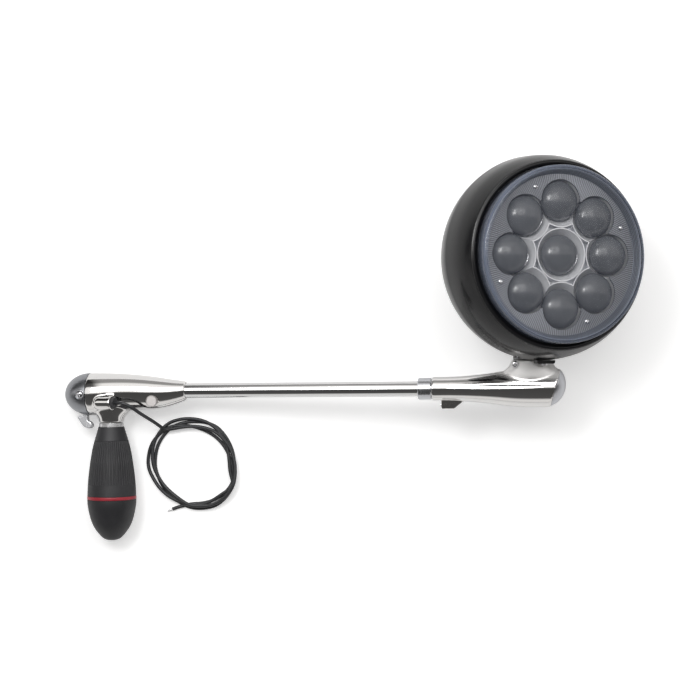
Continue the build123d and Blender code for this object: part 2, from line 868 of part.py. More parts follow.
def neck_screw():
    """A button-head screw with a hexagon socket."""
    screw = rod(neck_screw_point(0), neck_screw_point(neck_screw_head_height), neck_screw_head_radius)
    screw = fillet(screw.edges().group_by(Axis.Z)[-1], neck_screw_head_fillet)
    screw += rod(neck_screw_point(-neck_screw_length), neck_screw_point(0), neck_screw_shank_radius)
    socket_floor = neck_screw_point(neck_screw_head_height - neck_screw_socket_depth)
    socket = extrude(RegularPolygon(neck_screw_socket_radius, 6), 2 * neck_screw_socket_depth)
    return screw - Pos(*socket_floor) * socket


def gooseneck_end_cap():
    """A polished dome that closes the gear chamber."""
    height = gooseneck_cap_height
    radius = gooseneck_cap_radius
    sphere_radius = (radius**2 + height**2) / (2 * height)
    dome = Pos(0, 0, height - sphere_radius) * Sphere(sphere_radius)
    cap = seam_plane * (dome & half_space())
    spigot_radius_out = gooseneck_bore_radius - seat_clearance
    spigot_radius_in = gooseneck_bore_radius - gooseneck_spigot_wall
    start = (post_x + chamber_reach, 0, 0)
    spigot = tube(start, (post_x + far, 0, 0), spigot_radius_out, spigot_radius_in)
    return cap + (spigot - seam_plane * half_space())


def post_bush():
    return tube(
        (post_x, hub_back + bush_gap, 0),
        (post_x, neck_top - post_bush_inset, 0),
        post_bush_radius,
        post_d / 2 + running_clearance,
    )


def post_washer():
    return tube(
        (post_x, neck_top, 0),
        (post_x, neck_top + washer_thickness, 0),
        washer_outer_radius,
        washer_inner_radius,
    )


# Lamp head

pan = math.radians(head_pan)
head_plane = Plane(
    origin=(post_x, head_height, 0),
    x_dir=(math.cos(pan), 0, -math.sin(pan)),
    z_dir=(math.sin(pan), 0, math.cos(pan)),
)


def lamp_post():
    """The post that turns the lamp, with the collar that the lamp's foot rests on."""
    shoulder = hub_back + bush_gap + end_play
    top = seat_y + foot_thickness + post_nut_height + post_proud
    collar_radius = washer_inner_radius - assembly_clearance
    post = rod((post_x, shoulder, 0), (post_x, top, 0), post_d / 2)
    post += rod((post_x, hub_front + end_play, 0), (post_x, shoulder, 0), shaft_end_d / 2)
    post += rod((post_x, neck_top + washer_play, 0), (post_x, seat_y, 0), collar_radius)
    return post - pin_hole("post_gear")


def post_nut():
    plane = Plane(origin=(post_x, seat_y + foot_thickness, 0), z_dir=(0, 1, 0))
    nut = extrude(RegularPolygon(post_nut_radius, 6), post_nut_height)
    return plane * nut - rod((post_x, 0, 0), (post_x, head_height, 0), post_d / 2 + seat_clearance)


def bowl(radius, depth):
    """The round back of the lamp behind the seam, a little more pointed than half an ellipsoid."""
    steps = 10
    angles = [math.pi / 2 * step / steps for step in range(steps + 1)]
    power = 2 / shell_fullness
    side = [(radius * math.cos(a) ** power, seam_forward - depth * math.sin(a) ** power) for a in angles[:-1]]
    pole = (0, seam_forward - depth)
    outline = Curve() + [
        Spline(*side, pole, tangents=((0, -1), (-1, 0))),
        Line((radius, seam_forward), (0, seam_forward)),
        Line((0, seam_forward), pole),
    ]
    return turned(outline, Axis.Z, Plane.XZ)


def rear_shell():
    """The bowl of the lamp, with the foot that sits on the gooseneck."""
    shell = bowl(shell_radius, shell_depth)
    beyond = 1.5 * shell_radius
    shell += rod((0, -head_down, 0), (0, -head_down + foot_rise, 0), foot_radius)
    shell -= slab((-beyond, beyond), (-beyond, beyond), (seam_forward, seam_forward + beyond))
    shell -= rod((0, -beyond, 0), (0, -head_down, 0), neck_radius + foot_relief)
    hollow = bowl(shell_radius - shell_wall, shell_depth - shell_wall)
    floor = rod((0, -beyond, 0), (0, -head_down + foot_thickness, 0), foot_radius)
    shell -= hollow - floor
    bore_end = (0, -head_down + foot_bore_depth, 0)
    shell -= rod((0, -head_down + foot_thickness, 0), bore_end, foot_bore_radius)
    return shell - rod((0, -beyond, 0), (0, -head_down + foot_rise, 0), post_d / 2 + seat_clearance)


def bezel_side(reach, rise):
    """A point on the bezel's flank: reach is 1 at its back edge and 0 at the nose, rise the reverse."""
    radius = bezel_nose_radius + (bezel_outer_radius - bezel_nose_radius) * reach
    return radius, bezel_back + (bezel_shoulder - bezel_back) * rise


def bezel():
    """The front ring: a rounded flank and a beaded lip that holds the lens."""
    tongue_outer = shell_radius - shell_wall - bezel_tongue_clearance
    inner = tongue_outer - bezel_tongue_thickness
    tongue_back = bezel_back - bezel_tongue
    root_front = bezel_back + bezel_root
    lip_back = bezel_front - bezel_lip_thickness
    lip_front = lip_back + bezel_lip_thickness / 3
    middle_radius, middle_height = bezel_side(0.69, 0.55)
    outline = Curve() + [
        Spline(
            (bezel_outer_radius, bezel_back),
            bezel_side(0.91, 0.26),
            bezel_side(0.69, 0.58),
            bezel_side(0.29, 0.85),
            (bezel_nose_radius, bezel_shoulder),
        ),
        Spline(
            (bezel_nose_radius, bezel_shoulder),
            (bezel_opening_radius + bezel_lip_width, bezel_front),
            (bezel_opening_radius, lip_front),
        ),
        Line((bezel_opening_radius, lip_front), (bezel_opening_radius, lip_back)),
        Line((bezel_opening_radius, lip_back), (bezel_nose_radius, lip_back)),
        Spline(
            (bezel_nose_radius, lip_back),
            (middle_radius - bezel_wall, middle_height),
            (inner, root_front),
        ),
        Line((inner, root_front), (inner, tongue_back)),
        Line((inner, tongue_back), (tongue_outer, tongue_back)),
        Line((tongue_outer, tongue_back), (tongue_outer, bezel_back)),
        Line((tongue_outer, bezel_back), (bezel_outer_radius, bezel_back)),
    ]
    return turned(outline, Axis.Z, Plane.XZ)


def ring_about_beam(back, front, outer, inner):
    return tube((0, 0, back), (0, 0, front), outer, inner)


def bezel_gasket():
    outer = shell_radius - bezel_gasket_inset
    return ring_about_beam(seam_forward, bezel_back, outer, shell_radius - shell_wall)


def bezel_clamp_tab():
    """The tab that draws the bezel to the shell, under the lamp."""
    start = bezel_back + tab_start
    half = tab_width / 2
    tab = slab((-half, half), (tab_low, tab_low + 2 * tab_depth), (start, start + tab_length))
    tab = fillet(tab.edges().filter_by(Axis.Z).group_by(Axis.Y)[0], tab_fillet)
    return tab - rod((0, 0, start - 1), (0, 0, start + tab_length + 1), bezel_outer_radius + tab_gap)


def bezel_screw():
    z = bezel_back + tab_start + tab_length / 2
    return rod((0, tab_low - bezel_screw_height, z), (0, tab_low, z), bezel_screw_radius)


def module_housing():
    """The lamp's light engine: a round housing with cooling fins behind it."""
    body = rod((0, 0, module_back), (0, 0, plate_back), module_radius)
    rim_front = lens_flange_back - gasket_thickness
    body += rod((0, 0, rim_front - module_rim_thickness), (0, 0, rim_front), lens_flange_radius)
    body -= rod((0, 0, module_floor), (0, 0, cup_back), module_step_radius)
    body -= rod((0, 0, cup_back), (0, 0, plate_back + 1), module_bore_radius)
    pitch = 2 * fin_radius / fin_count
    fins = [
        slab((x - fin_thickness / 2, x + fin_thickness / 2), (-fin_radius, fin_radius),
             (module_back - fin_reach, module_back))
        for x in [(i - (fin_count - 1) / 2) * pitch for i in range(fin_count)]
    ]
    round_limit = rod((0, 0, module_back - fin_reach), (0, 0, module_back), fin_radius)
    return body + [fin & round_limit for fin in fins]


def ring_of_points(radius, count, start=0.0):
    """Points spaced evenly round the beam, from a start angle."""
    angles = [math.radians(start + 360 * step / count) for step in range(count)]
    return [(radius * math.cos(angle), radius * math.sin(angle)) for angle in angles]


def optic_centres():
    return [(0.0, 0.0)] + ring_of_points(optic_ring_radius, optic_count)


def screw_centres():
    return ring_of_points(plate_screw_ring_radius, plate_screw_count, plate_screw_start)


def led_board():
    radius = module_step_radius - assembly_clearance
    return rod((0, 0, module_floor), (0, 0, module_floor + board_thickness), radius)


def led_emitters():
    z = module_floor + board_thickness
    box = Box(emitter_side, emitter_side, emitter_height, align=CENTRE_MIN)
    return Compound([Pos(x, y, z) * box for x, y in optic_centres()])


def cup_cone(wall):
    """One conical reflector bowl, open to the front."""
    height = plate_front - cup_floor
    low = optic_radius + cup_foot_gap + wall
    high = cup_radius - cup_wall + wall
    return Cone(low, high, height, align=CENTRE_MIN)


def reflector_cups():
    """Nine bright bowls on one base, cut into each other where they meet."""
    cups = rod((0, 0, cup_back), (0, 0, cup_floor), module_bore_radius - assembly_clearance)
    for x, y in optic_centres():
        cups += Pos(x, y, cup_floor) * cup_cone(cup_wall)
    for x, y in screw_centres():
        cups += rod((x, y, cup_floor), (x, y, plate_back), plate_screw_radius + plate_screw_boss_wall)
    for x, y in optic_centres():
        cups -= Pos(x, y, cup_floor) * cup_cone(0.0)
        cups -= rod((x, y, cup_back), (x, y, cup_floor), optic_radius - cup_hole_margin)
    return cups


def lens_optics():
    """Nine dome optics, each on a short round foot."""
    sphere_radius = (optic_radius**2 + optic_dome_height**2) / (2 * optic_dome_height)
    dome = Pos(0, 0, optic_dome_height - sphere_radius) * Sphere(sphere_radius)
    dome = Pos(0, 0, cup_floor + optic_base_height) * (dome & half_space())
    optic = dome + rod((0, 0, cup_floor), (0, 0, cup_floor + optic_base_height), optic_radius)
    return Compound([Pos(x, y, 0) * optic for x, y in optic_centres()])


def optics_plate():
    plate = rod((0, 0, plate_back), (0, 0, plate_front), plate_radius)
    for x, y in optic_centres():
        plate -= rod((x, y, plate_back - 1), (x, y, plate_front + 1), cup_radius + plate_cup_clearance)
    for x, y in screw_centres():
        hole_radius = plate_screw_shank_radius + screw_clearance
        plate -= rod((x, y, plate_back - 1), (x, y, plate_front + 1), hole_radius)
    centre_radius = cup_radius + plate_centre_margin
    return plate - rod((0, 0, plate_back - 1), (0, 0, plate_front + 1), centre_radius)


def plate_screws():
    head = rod((0, 0, plate_front), (0, 0, plate_front + plate_screw_height), plate_screw_radius)
    head = fillet(head.edges().group_by(Axis.Z)[-1], plate_screw_fillet)
    screw = head + rod((0, 0, plate_back), (0, 0, plate_front), plate_screw_shank_radius)
    return Compound([Pos(x, y, 0) * screw for x, y in screw_centres()])


def lens_cover():
    """The clear cover: a shallow cup with a flange behind the bezel's lip."""
    flange_front = lens_flange_back + lens_flange_thickness
    outer = rod((0, 0, lens_flange_back), (0, 0, lens_front), lens_radius)
    outer = fillet(outer.edges().group_by(Axis.Z)[-1], lens_corner)
    inner_front = lens_front - lens_wall
    inner = rod((0, 0, lens_flange_back), (0, 0, inner_front), lens_radius - lens_wall)
    inner = fillet(inner.edges().group_by(Axis.Z)[-1], lens_corner - lens_wall)
    flange = rod((0, 0, lens_flange_back), (0, 0, flange_front), lens_flange_radius)
    return flange + outer - inner


def lens_gasket():
    back = lens_flange_back - gasket_thickness
    inner = lens_radius - lens_wall + gasket_inset
    return ring_about_beam(back, lens_flange_back, lens_flange_radius, inner)


# Lead


def lead_route(exit_point, exit_direction):
    """The lead's corners from the gland down to the coil, on the bench's own frame."""
    straight_end = exit_point + exit_direction * lead_straight
    return [exit_point, straight_end] + [Vector(*point) for point in lead_points]


def corner_radii(points):
    """The largest arc that each corner's shorter run allows."""
    radii = []
    for before, here, after in zip(points, points[1:], points[2:]):
        run_in = here - before
        run_out = after - here
        half_turn = math.radians(run_in.get_angle(run_out)) / 2
        radii.append(0.45 * min(run_in.length, run_out.length) / math.tan(half_turn))
    return radii


def lead_tube(points):
    radii = corner_radii(points)
    print("lead corner radii", [round(radius, 1) for radius in radii])
    path = FilletPolyline(*points, radius=radii)
    section = Plane(origin=path @ 0, z_dir=path % 0) * Circle(lead_d / 2)
    lead = sweep(section, path)
    share = lead.volume / (math.pi * (lead_d / 2) ** 2 * path.length)
    print("lead tube volume over section times length", round(share, 4))
    return lead


def lead_coil():
    x, y = lead_coil_centre
    top = (x, y, lead_coil_height)
    coil = tube((x, y, 0), top, lead_coil_outer_radius, lead_coil_inner_radius)
    return fillet(coil.edges().filter_by(GeomType.CIRCLE), lead_coil_edge)


def lead_strands():
    """The bare end of the lead."""
    before, end = [Vector(*point) for point in tail_points[-2:]]
    run = (end - before).normalized()
    return rod(tuple(end), tuple(end + run * strand_length), strand_radius)


drive_pieces = {
    "shaft_tube": shaft_tube(),
    "shaft_collar": shaft_collar(),
    "handle_shaft_bush": shaft_bush(tube_start),
    "gooseneck_shaft_bush": shaft_bush(tube_end - bush_length),
    "drive_shaft": drive_shaft(),
    "handle_shaft_gear": gear("handle_shaft_gear"),
    "gooseneck_shaft_gear": gear("gooseneck_shaft_gear"),
    "shaft_gear_pins": Compound([gear_pin("handle_shaft_gear"), gear_pin("gooseneck_shaft_gear")]),
    "handle_casting": handle_casting(),
    "handle_end_cap": handle_end_cap(),
    "end_cap_screw": end_cap_screw(),
    "clamp_bolt": clamp_bolt(),
    "lead_gland": lead_gland(),
    "switch_bracket": switch_bracket(),
    "trigger_switch": trigger_switch(),
    "lever_pin": lever_pin(),
    "trigger_lever": trigger_lever(),
    "grip_bush": grip_bush(),
    "grip_spindle": grip_spindle(),
    "grip_gear": gear("grip_gear"),
    "grip_gear_pin": gear_pin("grip_gear"),
    "grip_ferrule": grip_ferrule(),
    "grip_body": grip_body(),
    "grip_band": grip_band(),
    "grip_end_cap": grip_end_cap(),
    "gooseneck_casting": gooseneck_casting(),
    "gooseneck_end_cap": gooseneck_end_cap(),
    "lug_set_screw": lug_set_screw(),
    "neck_screw": neck_screw(),
    "post_bush": post_bush(),
    "post_washer": post_washer(),
    "lamp_post": lamp_post(),
    "post_gear": gear("post_gear"),
    "post_gear_pin": gear_pin("post_gear"),
    "post_nut": post_nut(),
}
head_pieces = {
    "rear_shell": rear_shell(),
    "bezel": bezel(),
    "bezel_gasket": bezel_gasket(),
    "bezel_clamp_tab": bezel_clamp_tab(),
    "bezel_screw": bezel_screw(),
    "module_housing": module_housing(),
    "led_board": led_board(),
    "led_emitters": led_emitters(),
    "reflector_cups": reflector_cups(),
    "lens_optics": lens_optics(),
    "optics_plate": optics_plate(),
    "plate_screws": plate_screws(),
    "lens_cover": lens_cover(),
    "lens_gasket": lens_gasket(),
}
for name, piece in head_pieces.items():
    drive_pieces[name] = head_plane * piece

# Laying the lamp on the bench: its box is centred on the origin and its lowest point is on Z = 0
tilt = Rot(-lay_roll, 0, 0) * Rot(0, -lay_rise, 0)
tilted = {name: tilt * piece for name, piece in drive_pieces.items()}
box = Compound(list(tilted.values())).bounding_box()
shift = Pos(-(box.min.X + box.max.X) / 2, -(box.min.Y + box.max.Y) / 2, -box.min.Z)
lay_down = shift * tilt
pieces = {name: shift * piece for name, piece in tilted.items()}

gland_exit = Plane(
    origin=gland_point(gland_boss_length + gland_head_length), x_dir=(0, 1, 0), z_dir=gland_direction
)
exit_location = lay_down * Location(gland_exit)
exit_plane = Plane(exit_location)
pieces["lead_tube"] = lead_tube(lead_route(exit_plane.origin, exit_plane.z_dir))
pieces["lead_coil"] = lead_coil()
pieces["lead_tail"] = lead_tube([Vector(*point) for point in tail_points])
pieces["lead_strands"] = lead_strands()

os.makedirs("parts", exist_ok=True)
for name, piece in pieces.items():
    export_step(piece, f"parts/{name}.step")
print(len(pieces), "pieces")
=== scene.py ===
import json
import math

import bmesh
import bpy
from mathutils import Matrix, Vector


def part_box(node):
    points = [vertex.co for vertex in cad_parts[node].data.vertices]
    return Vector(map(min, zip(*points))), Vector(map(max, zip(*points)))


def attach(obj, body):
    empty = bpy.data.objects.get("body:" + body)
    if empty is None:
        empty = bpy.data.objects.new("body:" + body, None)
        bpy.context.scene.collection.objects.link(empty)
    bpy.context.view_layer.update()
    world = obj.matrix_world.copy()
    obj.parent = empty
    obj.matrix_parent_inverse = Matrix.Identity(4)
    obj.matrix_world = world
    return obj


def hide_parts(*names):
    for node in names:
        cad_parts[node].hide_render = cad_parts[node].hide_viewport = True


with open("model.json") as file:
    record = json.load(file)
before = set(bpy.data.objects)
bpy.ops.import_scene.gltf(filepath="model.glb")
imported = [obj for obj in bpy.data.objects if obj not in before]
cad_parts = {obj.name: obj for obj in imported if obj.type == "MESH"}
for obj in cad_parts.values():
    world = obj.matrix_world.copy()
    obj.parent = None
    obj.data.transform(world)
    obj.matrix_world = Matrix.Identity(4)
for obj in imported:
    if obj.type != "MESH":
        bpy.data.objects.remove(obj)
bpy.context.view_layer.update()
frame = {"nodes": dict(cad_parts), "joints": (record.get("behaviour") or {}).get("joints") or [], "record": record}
nodes = frame["nodes"]

MM = 0.001

# The lamp's own frames, from its joints. Drive frame: X along the shaft, Y up the lamp post.
joints = {joint["name"]: joint for joint in frame["joints"]}
shaft_way = Vector(joints["shaft_spin"]["axis"]).normalized()
post_way = Vector(joints["head_pan"]["axis"]).normalized()
lamp_pan = math.radians(28.0)
lamp_height = 105.4 * MM


def frame_matrix(origin, x_way, y_way):
    z_way = x_way.cross(y_way)
    turn = Matrix((x_way, y_way, z_way)).transposed()
    return Matrix.Translation(origin) @ turn.to_4x4()


shaft_point = Vector(joints["shaft_spin"]["pos_m"])
grip_point = Vector(joints["grip_twist"]["pos_m"])
drive_origin = shaft_point + shaft_way * (grip_point - shaft_point).dot(shaft_way)
drive = frame_matrix(drive_origin, shaft_way, post_way)
post_base = Vector(joints["head_pan"]["pos_m"])
beam_side = Matrix.Rotation(lamp_pan, 3, post_way) @ shaft_way
head = frame_matrix(post_base + post_way * lamp_height, beam_side, post_way)


# Camera, at the photograph's place: millimetres, degrees and pixels

camera_eye = Vector((44.10, -4.71, 1299.4))
camera_roll, camera_yaw, camera_pitch = 0.545, -1.847, -0.324
photo_width_px = 700
focal_length_px = 1501.6
sensor_width = 36.0


def photo_camera():
    turns = ((camera_roll, "Z"), (camera_yaw, "Y"), (camera_pitch, "X"))
    roll, yaw, pitch = (Matrix.Rotation(math.radians(angle), 3, axis) for angle, axis in turns)
    world_to_camera = roll @ yaw @ pitch
    data = bpy.data.cameras.new("photo_camera")
    data.sensor_fit = "HORIZONTAL"
    data.sensor_width = sensor_width
    data.lens = focal_length_px / photo_width_px * sensor_width
    data.clip_start = 0.01
    data.clip_end = 20.0
    camera = bpy.data.objects.new("photo_camera", data)
    to_eye = Matrix.Translation(camera_eye * MM)
    camera.matrix_world = to_eye @ world_to_camera.transposed().to_4x4()
    bpy.context.scene.collection.objects.link(camera)
    bpy.context.scene.camera = camera


photo_camera()


# Materials


class Shading:
    """A shader's node tree and short ways to add to it."""

    def __init__(self, tree):
        self.tree = tree

    def node(self, kind, **values):
        made = self.tree.nodes.new(kind)
        for name, value in values.items():
            setattr(made, name, value)
        return made

    def link(self, start, end):
        self.tree.links.new(start, end)

    def split(self, vector):
        """The X, Y and Z outputs of a vector."""
        parts = self.node("ShaderNodeSeparateXYZ")
        self.link(vector, parts.inputs["Vector"])
        return parts.outputs

    def between(self, value, low, high, from_low=0.3, from_high=0.7):
        """A value brought to a range."""
        ranged = self.node("ShaderNodeMapRange")
        for socket, number in zip(
            ("From Min", "From Max", "To Min", "To Max"), (from_low, from_high, low, high)
        ):
            ranged.inputs[socket].default_value = number
        self.link(value, ranged.inputs["Value"])
        return ranged.outputs["Result"]

    def maths(self, operation, first, second=None):
        made = self.node("ShaderNodeMath", operation=operation)
        for socket, value in zip(made.inputs, (first, second)):
            if value is None:
                continue
            if isinstance(value, (int, float)):
                socket.default_value = value
            else:
                self.link(value, socket)
        return made.outputs["Value"]

    def ramp(self, value, stops):
        """A colour along a ramp: each stop is a place and a colour."""
        made = self.node("ShaderNodeValToRGB")
        elements = made.color_ramp.elements
        while len(elements) < len(stops):
            elements.new(0.5)
        for element, (place, colour) in zip(elements, stops):
            element.position = place
            element.color = (*colour, 1.0)
        self.link(value, made.inputs["Fac"])
        return made.outputs["Color"]


class Finish(Shading):
    """One material and the few node shapes that its pattern needs."""

    def __init__(self, name, colour, **sockets):
        self.material = bpy.data.materials.new(name)
        self.material.use_nodes = True
        super().__init__(self.material.node_tree)
        self.shader = self.tree.nodes["Principled BSDF"]
        self.set("Base Color", (*colour, 1.0))
        for socket, value in sockets.items():
            self.set(socket.replace("_", " "), value)

    def set(self, socket, value):
        self.shader.inputs[socket].default_value = value

    def place(self, matrix=None, scale=(1, 1, 1)):
        """The point in the frame of a matrix, from the object's coordinates."""
        coordinates = self.node("ShaderNodeTexCoord")
        mapping = self.node("ShaderNodeMapping", vector_type="TEXTURE")
        matrix = matrix or Matrix.Identity(4)
        mapping.inputs["Location"].default_value = matrix.translation
        mapping.inputs["Rotation"].default_value = matrix.to_euler()
        mapping.inputs["Scale"].default_value = [1 / share for share in scale]
        self.link(coordinates.outputs["Object"], mapping.inputs["Vector"])
        return mapping.outputs["Vector"]

    def noise(self, point, scale, detail=2.0, roughness=0.5):
        texture = self.node("ShaderNodeTexNoise")
        texture.inputs["Scale"].default_value = scale
        texture.inputs["Detail"].default_value = detail
        texture.inputs["Roughness"].default_value = roughness
        self.link(point, texture.inputs["Vector"])
        return texture.outputs["Fac"]

    def colours(self, value, *stops):
        self.link(self.ramp(value, stops), self.shader.inputs["Base Color"])

    def rough(self, value):
        self.link(value, self.shader.inputs["Roughness"])

    def bump(self, height, depth, strength=1.0):
        made = self.node("ShaderNodeBump")
        made.inputs["Strength"].default_value = strength
        made.inputs["Distance"].default_value = depth
        self.link(height, made.inputs["Height"])
        self.link(made.outputs["Normal"], self.shader.inputs["Normal"])

    def around(self, point):
        """The angle about Z and the distance from it, for a point."""
        parts = self.split(point)
        angle = self.maths("ARCTAN2", parts["Y"], parts["X"])
        across = self.maths("MULTIPLY", parts["X"], parts["X"])
        along = self.maths("MULTIPLY", parts["Y"], parts["Y"])
        return angle, self.maths("SQRT", self.maths("ADD", across, along))


# The optics' patterns. Reaches run from the beam out and rises along it, in metres.
plate_rays = 240.0
cover_wall_reach = (0.0655, 0.0690)
cover_wall_rise = (0.052, 0.064)
# The cover wall's painted shade at its back, by the bezel; its front edge gets a painted highlight.
cover_painted_shade = (0.02, 0.022, 0.03)
# Where the rim band's painted highlight lies, by its outer edge.
band_painted_highlight_reach = (0.0660, 0.0672)
band_line_rate = 9000.0

# The neck's satin, in metres of the drive frame: it starts at a height that falls along X
satin_start = 0.0125
satin_rough_end = 0.0180
satin_plain_end = 0.0190
satin_waver = 0.004
satin_slope_reach = (0.325, 0.345)
satin_slope_rise = 0.0055


def plated(name, colour, rough_low, rough_high, ripple=0.000008, cloud=60.0):
    """Plated metal: nearly a mirror, with a faint haze and the ripple of a polished casting."""
    finish = Finish(name, colour, Metallic=1.0, Roughness=rough_low)
    point = finish.place()
    finish.rough(finish.between(finish.noise(point, cloud, 4.0), rough_low, rough_high))
    finish.bump(finish.noise(point, 90.0, 1.0), ripple)
    return finish.material


def brushed(name, colour, matrix, scale, rough_low, rough_high, depth=0.00001):
    """Turned or brushed metal: fine marks that are long one way."""
    finish = Finish(name, colour, Metallic=1.0)
    point = finish.place(matrix, scale)
    marks = finish.noise(point, 1.0, 3.0, 0.6)
    finish.rough(finish.between(marks, rough_low, rough_high))
    finish.bump(marks, depth)
    return finish.material


def moulded(
    name, dark, light, rough_low, rough_high, grain=2500.0, depth=0.00002, cloud=45.0, **sockets
):
    """Moulded plastic or rubber: a fine grain, and slow changes of colour and gloss."""
    finish = Finish(name, dark, **sockets)
    point = finish.place()
    slow = finish.noise(point, cloud, 3.0)
    finish.colours(slow, (0.35, dark), (0.65, light))
    finish.rough(finish.between(slow, rough_low, rough_high))
    finish.bump(finish.noise(point, grain, 2.0), depth)
    return finish.material


def gloss_paint(name, dark, light):
    """Thick gloss paint with a faint orange peel."""
    finish = Finish(name, dark, Specular_IOR_Level=0.32, Coat_Weight=0.08, Coat_Roughness=0.05)
    point = finish.place()
    slow = finish.noise(point, 25.0, 2.0)
    finish.colours(slow, (0.3, dark), (0.7, light))
    finish.rough(finish.between(finish.noise(point, 60.0, 3.0), 0.16, 0.24))
    finish.bump(finish.noise(point, 420.0, 1.0), 0.000006)
    return finish.material


def striated_plate(name, dark, light):
    """The grey face round the optics, with fine rays from its middle."""
    finish = Finish(name, light, Metallic=0.6)
    angle, _ = finish.around(finish.place(head))
    rays = finish.maths("SINE", finish.maths("MULTIPLY", angle, plate_rays))
    rays = finish.between(rays, 0.0, 1.0, -1.0, 1.0)
    finish.colours(rays, (0.1, dark), (0.9, light))
    finish.rough(finish.between(rays, 0.28, 0.42, 0.0, 1.0))
    finish.bump(rays, 0.00015)
    return finish.material


def clear_moulding(name, tint):
    """Clear plastic that is nearly unseen on its face and takes its tint in its side wall, with painted shade at
    the wall's back and a painted highlight at its front edge.
    """
    finish = Finish(name, tint, IOR=1.49, Roughness=0.06)
    point = finish.place(head)
    _, distance = finish.around(point)
    wall = finish.between(distance, 0.05, 0.62, *cover_wall_reach)
    finish.link(wall, finish.shader.inputs["Alpha"])
    # The side wall's colour by height: painted shade at its back by the bezel, its own bluish tint in the middle,
    # and a painted highlight at its front edge.
    front = finish.between(finish.split(point)["Z"], 0.0, 1.0, *cover_wall_rise)
    painted_highlight_tint = [min(1.5 * share, 1.0) for share in tint]
    finish.colours(front, (0.05, cover_painted_shade), (0.5, tint), (1.0, painted_highlight_tint))
    finish.rough(finish.between(finish.noise(point, 40.0, 3.0), 0.03, 0.07))
    return finish.material


def bright_cup(name, colour):
    """Vacuum-plated plastic: bright, and soft enough to fill with light."""
    finish = Finish(name, colour, Metallic=0.55)
    finish.rough(finish.between(finish.noise(finish.place(), 150.0, 3.0), 0.16, 0.26))
    return finish.material


def neck_casting(name, colour):
    """The polished casting, whose neck under the lamp is left satin."""
    finish = Finish(name, colour, Metallic=1.0)
    point = finish.place(drive)
    parts = finish.split(point)
    waver = finish.maths("MULTIPLY", finish.noise(point, 60.0), satin_waver)
    height = finish.maths("ADD", parts["Y"], waver)
    slope = finish.between(parts["X"], 0.0, satin_slope_rise, *satin_slope_reach)
    height = finish.maths("ADD", height, slope)
    finish.rough(finish.between(height, 0.07, 0.45, satin_start, satin_rough_end))
    plain = finish.between(height, 1.0, 0.35, satin_start, satin_plain_end)
    finish.link(plain, finish.shader.inputs["Metallic"])
    finish.bump(finish.noise(point, 70.0, 1.0), 0.000008)
    return finish.material


def smoked_lens(name, dark, light):
    """A dark optic under a clear gloss skin."""
    finish = Finish(name, dark, Coat_Weight=0.12, Coat_Roughness=0.08)
    point = finish.place()
    finish.colours(finish.noise(point, 70.0, 2.0), (0.3, dark), (0.7, light))
    finish.rough(finish.between(finish.noise(point, 120.0, 3.0), 0.20, 0.27))
    return finish.material


def lined_band(name, dark, light):
    """A satin band with fine lines that run round the beam, and a painted highlight at its outer edge."""
    finish = Finish(name, light, Metallic=0.55)
    _, distance = finish.around(finish.place(head))
    lines = finish.maths("SINE", finish.maths("MULTIPLY", distance, band_line_rate))
    lines = finish.between(lines, 0.0, 0.5, -1.0, 1.0)
    # The band's outer edge is painted brighter: a painted highlight added to the fine lines.
    edge = finish.between(distance, 0.0, 0.5, *band_painted_highlight_reach)
    lines = finish.maths("ADD", lines, edge)
    finish.colours(lines, (0.2, dark), (0.8, light))
    finish.rough(finish.between(lines, 0.30, 0.42, 0.0, 1.0))
    return finish.material


